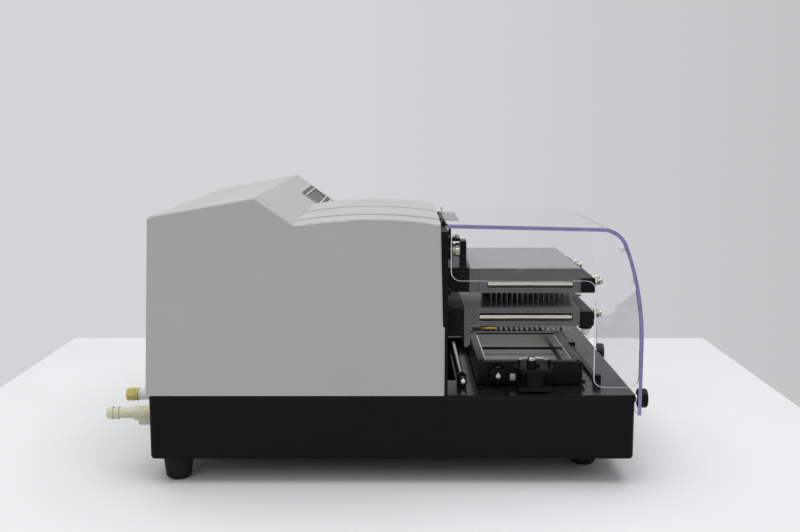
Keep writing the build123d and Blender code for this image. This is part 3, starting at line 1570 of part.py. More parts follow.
# Units inside the base
supply_length = base_width / 2 - 2 * supply_gap
board_length = base_width / 2 - 2 * board_gap
with BuildPart() as power_supply:
    with BuildSketch(Plane.XY.offset(pan_floor)):
        with Locations((base_width / 4, rear_y / 2)):
            Rectangle(supply_length, supply_depth)
    extrude(amount=supply_height)
power_supply.part.label = "power_supply"
export_step(power_supply.part, "parts/power_supply.step")

with BuildPart() as main_board:
    with BuildSketch(Plane.XY.offset(pan_floor + standoff_height)):
        with Locations((-base_width / 4, rear_y / 2)):
            Rectangle(board_length, board_depth)
    extrude(amount=board_thickness)
    with BuildSketch(Plane.XY.offset(pan_floor)):
        with Locations((-base_width / 4, rear_y / 2)):
            with GridLocations(board_length - 2 * standoff_inset, board_depth - 2 * standoff_inset, 2, 2):
                Circle(standoff_radius)
    extrude(amount=standoff_height)
main_board.part.label = "main_board"
export_step(main_board.part, "parts/main_board.step")

with BuildPart() as dispense_pump:
    with BuildSketch(Plane.YZ.offset(-pump_length / 2)):
        with Locations((belt_slot_y - pump_setback, pan_floor + pump_radius)):
            Circle(pump_radius)
        with Locations((belt_slot_y - pump_setback, pan_floor)):
            Rectangle(2 * pump_radius, pump_radius, align=(Align.CENTER, Align.MIN))
    extrude(amount=pump_length)
dispense_pump.part.label = "dispense_pump"
export_step(dispense_pump.part, "parts/dispense_pump.step")
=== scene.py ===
import bmesh
import bpy
import json
import math
from mathutils import Matrix, Vector


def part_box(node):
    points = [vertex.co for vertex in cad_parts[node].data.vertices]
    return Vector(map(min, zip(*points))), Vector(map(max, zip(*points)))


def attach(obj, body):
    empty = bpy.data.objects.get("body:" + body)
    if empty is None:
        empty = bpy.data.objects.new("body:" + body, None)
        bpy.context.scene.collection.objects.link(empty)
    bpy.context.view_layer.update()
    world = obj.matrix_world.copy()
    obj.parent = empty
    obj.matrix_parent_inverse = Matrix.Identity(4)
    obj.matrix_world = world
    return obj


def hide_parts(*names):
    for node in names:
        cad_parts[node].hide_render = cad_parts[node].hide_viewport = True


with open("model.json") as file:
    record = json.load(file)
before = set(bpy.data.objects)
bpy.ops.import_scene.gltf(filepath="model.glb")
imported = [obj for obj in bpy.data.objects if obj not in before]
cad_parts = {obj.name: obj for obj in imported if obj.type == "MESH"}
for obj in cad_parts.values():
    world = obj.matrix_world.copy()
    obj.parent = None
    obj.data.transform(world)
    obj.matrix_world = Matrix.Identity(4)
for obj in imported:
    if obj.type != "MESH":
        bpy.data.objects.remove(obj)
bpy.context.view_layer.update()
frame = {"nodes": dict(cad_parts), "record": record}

NODES = frame["nodes"]
SLOT_OF = {s["node"]: s["material_slot"] for s in frame["record"]["subparts"]}
BODY_OF = {n: body for body, nodes in frame["record"]["behaviour"]["bodies"].items() for n in nodes}
MM = 0.001

# Camera at the photograph's place
CAMERA_PLACE = (-0.998, -0.0222, 0.301)
CAMERA_PITCH = math.radians(8.04)
SENSOR_WIDTH, FOCAL_LENGTH = 36.0, 46.04
cam_data = bpy.data.cameras.new("camera")
cam_data.sensor_width = SENSOR_WIDTH
cam_data.lens = FOCAL_LENGTH
cam_data.clip_start = 0.01
cam_data.clip_end = 30.0
cam = bpy.data.objects.new("camera", cam_data)
bpy.context.scene.collection.objects.link(cam)
cam.location = CAMERA_PLACE
view_line = Vector((math.cos(CAMERA_PITCH), 0, -math.sin(CAMERA_PITCH)))
cam.rotation_mode = "QUATERNION"
cam.rotation_quaternion = view_line.to_track_quat("-Z", "Y")
bpy.context.scene.camera = cam
bpy.context.scene.view_settings.view_transform = "Standard"


# Node materials
def new_material(name):
    m = bpy.data.materials.new(name)
    m.use_nodes = True
    return m, m.node_tree, m.node_tree.nodes["Principled BSDF"]


def node(tree, kind, **values):
    """A new node. A name that starts with in_ sets an input, and any other sets a property."""
    n = tree.nodes.new(kind)
    for key, value in values.items():
        if key.startswith("in_"):
            n.inputs[key[3:].replace("_", " ")].default_value = value
        else:
            setattr(n, key, value)
    return n


def link(tree, a, out, b, inp):
    tree.links.new(a.outputs[out], b.inputs[inp])


def mapped(t, source, out, low, high, to_low=0.0, to_high=1.0):
    """Maps a value from low and high to to_low and to_high, and holds it there beyond them."""
    n = node(t, "ShaderNodeMapRange", in_From_Min=low, in_From_Max=high, in_To_Min=to_low, in_To_Max=to_high)
    link(t, source, out, n, "Value")
    return n


def colored(t, source, out, dark, pale, low=0.0, high=1.0):
    """A colour that goes from dark at low to pale at high."""
    n = node(t, "ShaderNodeValToRGB")
    first, last = n.color_ramp.elements
    first.position = low
    last.position = high
    first.color = (*dark, 1)
    last.color = (*pale, 1)
    link(t, source, out, n, "Fac")
    return n


def laid_over(t, last, amount, mottle, color):
    """Lays a colour over the last one where amount is high, as unevenly as the mottle."""
    mul = node(t, "ShaderNodeMath", operation="MULTIPLY")
    link(t, amount, "Result", mul, 0)
    link(t, mottle, "Fac", mul, 1)
    mix = node(t, "ShaderNodeMix", data_type="RGBA")
    link(t, mul, "Value", mix, "Factor")
    link(t, *last, mix, "A")
    mix.inputs["B"].default_value = (*color, 1)
    return mix, "Result"


def seen_from_outside(m):
    """Makes a material clear from behind, for a sheet's cut edges and for a floor seen from below."""
    t = m.node_tree
    geo = node(t, "ShaderNodeNewGeometry")
    clear = node(t, "ShaderNodeBsdfTransparent")
    both = node(t, "ShaderNodeMixShader")
    link(t, geo, "Backfacing", both, "Fac")
    link(t, t.nodes["Principled BSDF"], "BSDF", both, 1)
    link(t, clear, "BSDF", both, 2)
    link(t, both, "Shader", t.nodes["Material Output"], "Surface")
    return m


WORN_RADIUS, WORN_FROM, WORN_FULL = 0.0009, 0.985, 0.80
# Pale colour laid on faces that look up: real dust where faint, a painted sheen of light from above where
# strong
DUST_AND_SHEEN_COLOR, DUST_AND_SHEEN_FROM = (0.55, 0.55, 0.53), 0.5
BUMP_DEPTH, BUMP_GAIN = 0.0001, 6
SMOOTHEST = 0.02


def surface(
    name,
    color,
    rough=0.5,
    metal=0.0,
    mottle=(45.0, 0.06),
    grain=(2600.0, 0.04),
    rough_spread=0.08,
    stretch=(1, 1, 1),
    edge=0.0,
    dust_and_sheen=0.0,
    specular=0.5,
    transmission=0.0,
):
    """A painted, moulded or machined surface. mottle and grain are each a scale and a strength.

    Its colour is mottled, its gloss uneven and its grain raised. edge pales worn edges. Faces that look up
    are paled: faintly this is dust, and strongly, as on the manifold, it is a painted sheen of light from
    above.
    """
    m, t, b = new_material(name)
    co = node(t, "ShaderNodeTexCoord")
    mp = node(t, "ShaderNodeMapping", in_Scale=stretch)
    link(t, co, "Object", mp, "Vector")
    big = node(t, "ShaderNodeTexNoise", in_Scale=mottle[0], in_Detail=4.0)
    fine = node(t, "ShaderNodeTexNoise", in_Scale=grain[0], in_Detail=2.0)
    link(t, mp, "Vector", big, "Vector")
    link(t, mp, "Vector", fine, "Vector")
    dark = [max(0.0, c * (1 - mottle[1])) for c in color]
    pale = [min(1.0, c * (1 + mottle[1])) for c in color]
    last = (colored(t, big, "Fac", dark, pale, 0.3, 0.7), "Color")
    if edge:
        geo = node(t, "ShaderNodeNewGeometry")
        bev = node(t, "ShaderNodeBevel", samples=4, in_Radius=WORN_RADIUS)
        dot = node(t, "ShaderNodeVectorMath", operation="DOT_PRODUCT")
        link(t, geo, "Normal", dot, 0)
        link(t, bev, "Normal", dot, 1)
        worn = mapped(t, dot, "Value", WORN_FROM, WORN_FULL)
        last = laid_over(t, last, worn, big, [min(1.0, c + edge) for c in color])
    # Faces that look up are paled: faintly this is dust, strongly (as on the manifold) it is a painted sheen
    # from above
    if dust_and_sheen:
        geo = node(t, "ShaderNodeNewGeometry")
        parts = node(t, "ShaderNodeSeparateXYZ")
        link(t, geo, "Normal", parts, "Vector")
        up = mapped(t, parts, "Z", DUST_AND_SHEEN_FROM, 1.0, 0.0, dust_and_sheen)
        last = laid_over(t, last, up, big, DUST_AND_SHEEN_COLOR)
    link(t, *last, b, "Base Color")
    smooth, dull = max(SMOOTHEST, rough - rough_spread), min(1.0, rough + rough_spread)
    gloss = mapped(t, big, "Fac", 0.0, 1.0, smooth, dull)
    link(t, gloss, "Result", b, "Roughness")
    bump = node(t, "ShaderNodeBump", in_Strength=min(1.0, grain[1] * BUMP_GAIN), in_Distance=BUMP_DEPTH)
    link(t, fine, "Fac", bump, "Height")
    link(t, bump, "Normal", b, "Normal")
    b.inputs["Metallic"].default_value = metal
    b.inputs["Specular IOR Level"].default_value = specular
    b.inputs["Transmission Weight"].default_value = transmission
    return m


PLASTIC_IOR = 1.07
HAIR_SCALE, HAIR_STRETCH, HAIR_FROM, HAIR_FULL, HAIR_ROUGHNESS = 900.0, (1.0, 0.06, 0.3), 0.62, 0.8, 0.03
CLEAR_SHADOW = (0.93, 0.94, 0.96, 1)


def clear_plastic(name, tint):
    """Clear polycarbonate with a few fine hairlines in its gloss. Its shadow is only faintly darker.

    The index is lower than the real one, because a thin sheet's many faint reflections grain a short render.
    """
    m, t, b = new_material(name)
    b.inputs["Base Color"].default_value = (*tint, 1)
    b.inputs["IOR"].default_value = PLASTIC_IOR
    b.inputs["Transmission Weight"].default_value = 1.0
    co = node(t, "ShaderNodeTexCoord")
    hair = node(t, "ShaderNodeTexNoise", in_Scale=HAIR_SCALE, in_Detail=3.0)
    mp = node(t, "ShaderNodeMapping", in_Scale=HAIR_STRETCH)
    link(t, co, "Object", mp, "Vector")
    link(t, mp, "Vector", hair, "Vector")
    lines = mapped(t, hair, "Fac", HAIR_FROM, HAIR_FULL, 0.0, HAIR_ROUGHNESS)
    link(t, lines, "Result", b, "Roughness")
    clear = node(t, "ShaderNodeBsdfTransparent")
    clear.inputs["Color"].default_value = CLEAR_SHADOW
    path = node(t, "ShaderNodeLightPath")
    thin = node(t, "ShaderNodeMixShader")
    link(t, path, "Is Shadow Ray", thin, "Fac")
    link(t, b, "BSDF", thin, 1)
    link(t, clear, "BSDF", thin, 2)
    link(t, thin, "Shader", t.nodes["Material Output"], "Surface")
    return m


BLACK = dict(specular=0.1, mottle=(60.0, 0.15))
MATS = {
    "base_black": surface(
        "base_black", (0.0035, 0.0035, 0.0038), 0.45, grain=(3200, 0.05), edge=0.05, **BLACK
    ),
    "deck_gloss": surface(
        "deck_gloss", (0.005, 0.005, 0.0055), 0.2, grain=(900, 0.006), rough_spread=0.06, dust_and_sheen=0.02, **BLACK
    ),
    "rubber_black": surface("rubber_black", (0.01, 0.01, 0.01), 0.75, grain=(1800, 0.06), specular=0.2),
    "cover_grey": surface(
        "cover_grey", (0.375, 0.375, 0.362), 0.5, mottle=(18, 0.025), grain=(2400, 0.05), edge=0.22
    ),
    "overlay_grey": surface("overlay_grey", (0.42, 0.43, 0.43), 0.4, grain=(4000, 0.03)),
    "display_glass": surface("display_glass", (0.03, 0.032, 0.032), 0.3, grain=(300, 0.001), specular=0.2),
    "bay_black": surface("bay_black", (0.003, 0.003, 0.0032), 0.45, **BLACK),
    "plain_steel": surface("plain_steel", (0.42, 0.42, 0.41), 0.34, 0.9, stretch=(1, 8, 1)),
    "ground_steel": surface("ground_steel", (0.5, 0.49, 0.46), 0.24, 1.0, stretch=(6, 1, 1)),
    "motor_black": surface("motor_black", (0.012, 0.012, 0.012), 0.5, **BLACK),
    "hinge_black": surface("hinge_black", (0.003, 0.003, 0.003), 0.4, **BLACK),
    "bracket_black": surface("bracket_black", (0.004, 0.004, 0.0045), 0.4, edge=0.05, **BLACK),
    "fitting_natural": surface(
        "fitting_natural", (0.72, 0.70, 0.52), 0.4, mottle=(160, 0.08), transmission=0.35
    ),
    "fitting_white": surface("fitting_white", (0.8, 0.8, 0.77), 0.4, mottle=(160, 0.05), transmission=0.35),
    "fitting_yellow": surface("fitting_yellow", (0.52, 0.43, 0.12), 0.45, mottle=(120, 0.1)),
    "board_green": surface("board_green", (0.02, 0.12, 0.05), 0.35),
    "pump_grey": surface("pump_grey", (0.2, 0.2, 0.21), 0.5),
    "shield_clear": clear_plastic("shield_clear", (0.985, 0.988, 1.0)),
    "grip_black": surface("grip_black", (0.003, 0.003, 0.0034), 0.38, edge=0.04, **BLACK),
    "manifold_grey": surface(
        "manifold_grey",
        (0.056, 0.0575, 0.054),
        0.24,
        0.2,
        grain=(1800, 0.02),
        stretch=(1, 1, 6),
        edge=0.1,
        # Strong here: a painted sheen, the manifold's top painted paler as light from above would make it
        dust_and_sheen=0.2,
        specular=0.8,
    ),
    "tube_steel": surface("tube_steel", (0.4, 0.39, 0.36), 0.3, 0.9),
    "rod_steel": surface("rod_steel", (0.6, 0.57, 0.51), 0.2, 1.0, stretch=(1, 0.2, 4)),
    "yoke_black": surface("yoke_black", (0.003, 0.003, 0.0034), 0.36, edge=0.06, **BLACK),
    "carriage_black": surface("carriage_black", (0.003, 0.003, 0.0034), 0.3, edge=0.05, dust_and_sheen=0.015, **BLACK),
    "liner_grey": surface(
        "liner_grey",
        (0.52, 0.52, 0.49),
        0.2,
        1.0,
        mottle=(30, 0.12),
        grain=(2200, 0.02),
        stretch=(1, 0.15, 1),
    ),
    "pulley_alloy": surface("pulley_alloy", (0.45, 0.45, 0.46), 0.35, 0.9),
}


def edge_finish(name, color, rough, uneven):
    return seen_from_outside(surface(name, color, rough, mottle=(90, uneven), grain=(3000, 0.02)))


CUT_EDGE = edge_finish("cut_edge", (0.19, 0.175, 0.37), 0.3, 0.2)
EDGE_LINE = edge_finish("edge_line", (0.07, 0.06, 0.22), 0.25, 0.2)
PALE_EDGE = edge_finish("pale_edge", (0.85, 0.85, 0.95), 0.25, 0.1)
BRASS = surface("brass", (0.55, 0.38, 0.10), 0.28, 1.0, mottle=(200, 0.15))
BRIGHT_STEEL = surface("bright_steel", (0.5, 0.47, 0.42), 0.22, 1.0, mottle=(220, 0.12))
PRINT_BLACK = surface("print_black", (0.02, 0.02, 0.022), 0.4, mottle=(80, 0.1))
KEY_GREY = surface("key_grey", (0.62, 0.63, 0.63), 0.45, mottle=(90, 0.03))
WIRE_GREY = surface("wire_grey", (0.62, 0.62, 0.6), 0.3, 0.3, mottle=(200, 0.06))
PIN_BRASS = surface("pin_brass", (0.6, 0.5, 0.28), 0.3, 1.0)

for name, obj in NODES.items():
    mat = MATS[SLOT_OF[name]]
    for s in obj.material_slots:
        s.material = mat
    if not obj.material_slots:
        obj.data.materials.append(mat)

# Meshes are drawn in millimetres, and piece() turns them into metres
SHARP_ANGLE = math.radians(32)


def mm_box(name):
    low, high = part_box(name)
    return low / MM, high / MM


def piece(name, bm, mats, like, replaces=()):
    """Makes an object of the mesh. It rides on the body of the CAD node named by like."""
    bmesh.ops.recalc_face_normals(bm, faces=bm.faces)
    bmesh.ops.scale(bm, vec=(MM, MM, MM), verts=bm.verts)
    me = bpy.data.meshes.new(name)
    bm.to_mesh(me)
    bm.free()
    for mat in mats if isinstance(mats, list) else [mats]:
        me.materials.append(mat)
    me.polygons.foreach_set("use_smooth", [True] * len(me.polygons))
    me.set_sharp_from_angle(angle=SHARP_ANGLE)
    obj = bpy.data.objects.new(name, me)
    bpy.context.scene.collection.objects.link(obj)
    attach(obj, BODY_OF[like])
    if replaces:
        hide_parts(*replaces)


def facing(origin, direction):
    """A place whose local Z points along direction."""
    turn = Vector(direction).to_track_quat("Z", "Y").to_matrix().to_4x4()
    return Matrix.Translation(Vector(origin)) @ turn


def upright(x, y):
    return Matrix.Translation((x, y, 0))


def loft(bm, rings, place=None, ring_closed=False):
    """Skins rings of equally many points. Its ends are capped, or the last ring joins the first."""
    place = place or Matrix.Identity(4)
    rows = [[bm.verts.new(place @ Vector(p)) for p in ring] for ring in rings]
    pairs = list(zip(rows, rows[1:]))
    if ring_closed:
        pairs.append((rows[-1], rows[0]))
    for a, b in pairs:
        for i in range(len(a)):
            j = (i + 1) % len(a)
            bm.faces.new((a[i], a[j], b[j], b[i]))
    if not ring_closed:
        bm.faces.new(rows[0][::-1])
        bm.faces.new(rows[-1])


def circle(radius, z, sides=32, teeth=0, depth=0.0):
    """A ring of points. With teeth, its radius rises and falls by depth as a knurl does."""
    out = []
    for i in range(sides):
        a = 2 * math.pi * i / sides
        r = radius + (depth * math.cos(teeth * a) if teeth else 0.0)
        out.append((r * math.cos(a), r * math.sin(a), z))
    return out


def hexagon(radius, z, sides=24):
    """A six-sided ring with as many points as a circle of the same count."""
    sector = math.pi / 3
    out = []
    for i in range(sides):
        a = 2 * math.pi * i / sides
        r = radius * math.cos(sector / 2) / math.cos(a % sector - sector / 2)
        out.append((r * math.cos(a), r * math.sin(a), z))
    return out


def rounded(width, depth, radius, z, corner_steps=5):
    """A rectangle with round corners, as a ring of points."""
    out = []
    for cx, cy, start in ((1, 1, 0), (-1, 1, 90), (-1, -1, 180), (1, -1, 270)):
        for i in range(corner_steps + 1):
            a = math.radians(start + 90 * i / corner_steps)
            x = cx * (width / 2 - radius) + radius * math.cos(a)
            y = cy * (depth / 2 - radius) + radius * math.sin(a)
            out.append((x, y, z))
    return out


def turned(bm, profile, place, sides=32, ring_closed=False):
    """A round piece from pairs of place along its axis and radius."""
    loft(bm, [circle(r, z, sides) for z, r in profile], place, ring_closed)


KNURL_EDGE = 0.35


def knurled(bm, low, high, radius, place, teeth=24, depth=0.18):
    """A knurled ring with plain, broken edges."""
    sides = teeth * 6
    rings = [
        circle(radius - KNURL_EDGE, low, sides),
        circle(radius, low + KNURL_EDGE, sides, teeth, depth),
        circle(radius, high - KNURL_EDGE, sides, teeth, depth),
        circle(radius - KNURL_EDGE, high, sides),
    ]
    loft(bm, rings, place)


def slab(bm, width, depth, radius, low, high, place, edge=0.3):
    """A plate with round corners and a broken edge on both faces."""
    inner = max(radius - edge, 0.05)
    rings = [
        rounded(width - 2 * edge, depth - 2 * edge, inner, low),
        rounded(width, depth, radius, low + edge),
        rounded(width, depth, radius, high - edge),
        rounded(width - 2 * edge, depth - 2 * edge, inner, high),
    ]
    loft(bm, rings, place)


def frame_ring(bm, outer, inner, low, high, place):
    """A flat frame round an opening. outer and inner are each a width, a depth and a corner radius."""
    rings = [rounded(*outer, low), rounded(*outer, high), rounded(*inner, high), rounded(*inner, low)]
    loft(bm, rings, place, ring_closed=True)


def hex_nut(bm, low, high, radius, place, chamfer=0.5):
    rings = [
        hexagon(radius - chamfer, low, 36),
        hexagon(radius, low + chamfer, 36),
        hexagon(radius, high - chamfer, 36),
        hexagon(radius - chamfer, high, 36),
    ]
    loft(bm, rings, place)


def screws(name, places, radius, height, mat, like):
    """One piece of equal round-headed screws, each with a six-sided socket."""
    socket = radius * 0.5
    rings = [
        circle(radius, 0.0, 24),
        circle(radius, height * 0.6, 24),
        circle(radius * 0.85, height * 0.92, 24),
        circle(socket * 1.15, height, 24),
        hexagon(socket, height),
        hexagon(socket, height * 0.45),
    ]
    bm = bmesh.new()
    for place in places:
        loft(bm, rings, place)
    piece(name, bm, mat, like)


def wire(bm, points, radius, sides=12):
    """A round wire along a chain of points."""
    rings = []
    last = len(points) - 1
    for i, p in enumerate(points):
        spot = facing(p, points[min(i + 1, last)] - points[max(i - 1, 0)])
        rings.append([spot @ Vector(q) for q in circle(radius, 0.0, sides)])
    loft(bm, rings)


# Shield: the bent sheet and its side panels, with their cut edges broken by a fine chamfer
WINDOW_ROUNDING, ROUNDING_STEPS = 8.0, 6
SHEET_CHAMFER, PANEL_CHAMFER = 0.7, 0.45
ACROSS, CORNER_ANGLE, LOOKS_DOWN = 0.99, math.radians(60), -0.7


def round_windows(bm):
    """Rounds the corners of the side panels' windows, whose edges run across with a face below them."""
    corners = [
        e
        for e in bm.edges
        if abs((e.verts[0].co - e.verts[1].co).normalized().x) > ACROSS
        and len(e.link_faces) == 2
        and e.calc_face_angle() > CORNER_ANGLE
        and min(f.normal.z for f in e.link_faces) < LOOKS_DOWN
    ]
    size = dict(offset=WINDOW_ROUNDING * MM, segments=ROUNDING_STEPS, profile=0.5)
    bmesh.ops.bevel(bm, geom=corners, affect="EDGES", clamp_overlap=True, **size)
    bm.normal_update()


def clear_copy(node_name, name, side_mat, line_mat, chamfer):
    """The node's own shape, with clear faces and tinted cut edges whose chamfers take line_mat."""
    is_panels = node_name == "shield_side_panels"
    bm = bmesh.new()
    bm.from_mesh(NODES[node_name].data)
    bmesh.ops.remove_doubles(bm, verts=bm.verts, dist=1e-6)
    bmesh.ops.dissolve_limit(bm, angle_limit=math.radians(0.5), verts=bm.verts, edges=bm.edges)
    bm.normal_update()
    if is_panels:
        round_windows(bm)

    def is_side(f):
        return abs(f.normal.x) < 0.5 if is_panels else abs(f.normal.x) > 0.9

    def is_shown(f):
        """The panels' edges along the sheet are glued, and only the free ones catch the light."""
        return is_side(f) and (not is_panels or (f.normal.y > -0.3 and f.normal.z < 0.3))

    for f in bm.faces:
        f.material_index = 1 if is_shown(f) else 0
    rims = [
        e
        for e in bm.edges
        if len(e.link_faces) == 2
        and any(is_shown(f) for f in e.link_faces)
        and is_side(e.link_faces[0]) != is_side(e.link_faces[1])
        and max(abs(f.normal.x) for f in e.link_faces) > 0.9
    ]
    made = bmesh.ops.bevel(bm, geom=rims, offset=chamfer * MM, segments=1, affect="EDGES", clamp_overlap=True)
    for f in made["faces"]:
        f.material_index = 2
    bmesh.ops.scale(bm, vec=(1 / MM,) * 3, verts=bm.verts)
    piece(name, bm, [MATS["shield_clear"], side_mat, line_mat], node_name, [node_name])


clear_copy("shield_sheet", "shield_bent_sheet", CUT_EDGE, EDGE_LINE, SHEET_CHAMFER)
clear_copy("shield_side_panels", "shield_panels", PALE_EDGE, PALE_EDGE, PANEL_CHAMFER)

# Aspirate tubes and dispense nozzles, one for each well position
COLUMN_PITCH, ROW_PITCH = 9.0, 4.5
TUBE_SIDES = 12
TUBE_RADIUS, TUBE_BORE, TUBE_BORE_DEPTH = 0.62, 0.38, 1.5
COLLAR_RADIUS, COLLAR_HEIGHT, COLLAR_TAPER = 0.97, 1.6, 0.8
NOZZLE_ROOT, NOZZLE_TIP, NOZZLE_BORE = 1.85, 0.7, 0.35
NOZZLE_REACH, NOZZLE_BORE_DEPTH = 3.4, 1.2


def grid_of(node_name):
    """The middles of a node's tubes, from its box and the well pitch, and its lowest and highest z."""
    low, high = mm_box(node_name)
    columns = int((high.x - low.x) / COLUMN_PITCH) + 1
    rows = int((high.y - low.y) / ROW_PITCH) + 1
    side = high.x - low.x - (columns - 1) * COLUMN_PITCH
    spots = [
        (low.x + side / 2 + i * COLUMN_PITCH, low.y + side / 2 + j * ROW_PITCH)
        for i in range(columns)
        for j in range(rows)
    ]
    return spots, low.z, high.z


spots, low_z, high_z = grid_of("aspirate_tubes")
collar_z = high_z - COLLAR_HEIGHT
tube = [
    (collar_z, COLLAR_RADIUS),
    (collar_z - COLLAR_TAPER, TUBE_RADIUS),
    (low_z + 0.2, TUBE_RADIUS),
    (low_z, TUBE_RADIUS - 0.12),
    (low_z, TUBE_BORE),
    (low_z + TUBE_BORE_DEPTH, TUBE_BORE),
]
bm = bmesh.new()
for x, y in spots:
    turned(bm, tube, upright(x, y), TUBE_SIDES)
    turned(bm, [(collar_z, COLLAR_RADIUS), (high_z, COLLAR_RADIUS)], upright(x, y), TUBE_SIDES)
piece("aspirate_tube_set", bm, MATS["tube_steel"], "aspirate_tubes", ["aspirate_tubes"])

spots, low_z, high_z = grid_of("dispense_nozzles")
tip_z = low_z - NOZZLE_REACH
nozzle = [
    (high_z, NOZZLE_ROOT),
    (high_z - 1.2, NOZZLE_ROOT),
    (tip_z + 0.8, NOZZLE_TIP + 0.15),
    (tip_z, NOZZLE_TIP),
    (tip_z, NOZZLE_BORE),
    (tip_z + NOZZLE_BORE_DEPTH, NOZZLE_BORE),
]
bm = bmesh.new()
for x, y in spots:
    turned(bm, nozzle, upright(x, y), TUBE_SIDES)
piece("dispense_nozzle_set", bm, KEY_GREY, "dispense_nozzles", ["dispense_nozzles"])

# Clamp screws of both manifolds: shank, flange, groove, knurled collar, nut and tip, from the bar outward
SHANK, FLANGE, GROOVE, COLLAR, NUT, TIP = 2.0, 5.0, 3.6, 4.55, 3.7, 2.75
FLANGE_END, GROOVE_END, COLLAR_END, NUT_END = 1.9, 2.6, 4.6, 7.6
for head in ("aspirate", "dispense"):
    like = head + "_clamp_screws"
    low, high = mm_box(like)
    bar_low, bar_high = mm_box(head + "_front_bar")
    reach = bar_low.y - low.y
    bm = bmesh.new()
    for x in (low.x + FLANGE, high.x - FLANGE):
        spot = facing((x, bar_low.y, (low.z + high.z) / 2), (0, -1, 0))
        turned(bm, [(bar_low.y - bar_high.y, SHANK), (0.0, SHANK)], spot, sides=20)
        flange = [(0, FLANGE - 0.3), (0.3, FLANGE), (FLANGE_END - 0.3, FLANGE), (FLANGE_END, FLANGE - 0.3)]
        turned(bm, flange, spot)
        turned(bm, [(FLANGE_END, GROOVE), (GROOVE_END, GROOVE)], spot)
        knurled(bm, GROOVE_END, COLLAR_END, COLLAR, spot)
        hex_nut(bm, COLLAR_END, NUT_END, NUT, spot)
        tip = [(NUT_END, TIP), (reach - 0.7, TIP), (reach - 0.2, TIP - 0.45), (reach, TIP - 1.35)]
        turned(bm, tip, spot, sides=24)
    piece(head + "_knurled_screws", bm, BRIGHT_STEEL, like, [like])

# End nozzle: black knurled collar with a milky nozzle
NOZZLE_COLLAR, NOZZLE_COLLAR_DEPTH = 5.5, 3.4
low, high = mm_box("end_nozzle")
spot = facing(((low.x + high.x) / 2, (low.y + high.y) / 2, high.z), (0, 0, -1))
bm = bmesh.new()
knurled(bm, 0.0, NOZZLE_COLLAR_DEPTH, NOZZLE_COLLAR, spot, teeth=20, depth=0.15)
piece("end_nozzle_collar", bm, MATS["yoke_black"], "end_nozzle", ["end_nozzle"])
end_tip = [(NOZZLE_COLLAR_DEPTH, 3.6), (6.4, 3.6), (7.4, 3.2), (9.2, 2.4), (9.2, 1.1), (5.0, 1.1)]
bm = bmesh.new()
turned(bm, end_tip, spot, sides=28)
piece("end_nozzle_tip", bm, MATS["fitting_white"], "end_nozzle")

# Suction connection: two knurled rings, and a clip with two screws over them
CLIP_WIDTH, CLIP_DEPTH, CLIP_THICK, CLIP_SINK = 14.0, 9.6, 2.6, 0.4
CLIP_SCREW, CLIP_SCREW_HEIGHT, CLIP_SCREW_PLACES = 2.1, 2.6, (-2.6, 2.2)
RING_WAIST, RING_PLACES, HOSE_RADIUS = 0.9, ((0.0, 4.2), (5.2, 6.6)), 3.4
low, high = mm_box("suction_fitting")
fit_x, fit_z = (low.x + high.x) / 2, (low.z + high.z) / 2
ring_radius = (high.x - low.x) / 2
clip_y = low.y + CLIP_DEPTH / 2 + 0.1
yoke_top = mm_box("aspirate_yoke")[1].z
clip_top = yoke_top + CLIP_THICK - CLIP_SINK
(first_start, first_end), (second_start, second_end) = RING_PLACES
spot = facing((fit_x, low.y, fit_z), (0, 1, 0))
bm = bmesh.new()
knurled(bm, first_start, first_end, ring_radius, spot, teeth=30, depth=0.12)
waist = ring_radius - RING_WAIST
turned(bm, [(first_end, waist), (second_start, waist)], spot, sides=36)
knurled(bm, second_start, second_end, ring_radius, spot, teeth=30, depth=0.12)
turned(bm, [(second_end, HOSE_RADIUS), (8.6, HOSE_RADIUS), (8.6, 2.0), (2.0, 2.0)], spot, sides=28)
piece("suction_ring", bm, BRIGHT_STEEL, "suction_fitting", ["suction_fitting"])
bm = bmesh.new()
slab(bm, CLIP_WIDTH, CLIP_DEPTH, 1.2, yoke_top - CLIP_SINK, clip_top, upright(fit_x, clip_y))
slab(bm, CLIP_WIDTH - 2, 3.0, 0.8, fit_z - 8, yoke_top, upright(fit_x, high.y - 0.6))
piece("suction_clip", bm, MATS["yoke_black"], "suction_fitting")
places = [facing((fit_x, clip_y + offset, clip_top), (0, 0, 1)) for offset in CLIP_SCREW_PLACES]
screws("suction_clip_screws", places, CLIP_SCREW, CLIP_SCREW_HEIGHT, BRIGHT_STEEL, "suction_fitting")

# Brass drain fitting under the dispense manifold, near its rear: a stem, a nut and a barbed tail forward
DRAIN_X, DRAIN_Y, DRAIN_DROP = 4.6, -97.0, 2.3
NUT_BEHIND, STEM_BEHIND = 6.5, 4.7
BARBS = (5.4, 7.8, 10.2)
BARB_LENGTH, BARB_HIGH, BARB_LOW = 2.0, 2.1, 1.6
tail = [(3.6, 1.7), (5.0, 1.7)]
for start in BARBS:
    tail += [(start, BARB_HIGH), (start + BARB_LENGTH, BARB_LOW)]
tail[-1] = (12.6, 1.5)
tail.append((12.6, 0.8))
low, high = mm_box("dispense_manifold")
spot = facing((low.x + DRAIN_X, DRAIN_Y + NUT_BEHIND, low.z - DRAIN_DROP), (0, -1, 0))
bm = bmesh.new()
hex_nut(bm, 0.0, 3.6, 2.5, spot)
turned(bm, tail, spot, sides=24)
stem_spot = facing((low.x + DRAIN_X, DRAIN_Y + STEM_BEHIND, low.z), (0, 0, -1))
turned(bm, [(0.0, 1.4), (2.6, 1.4)], stem_spot, sides=20)
piece("drain_fitting", bm, BRASS, "dispense_manifold")

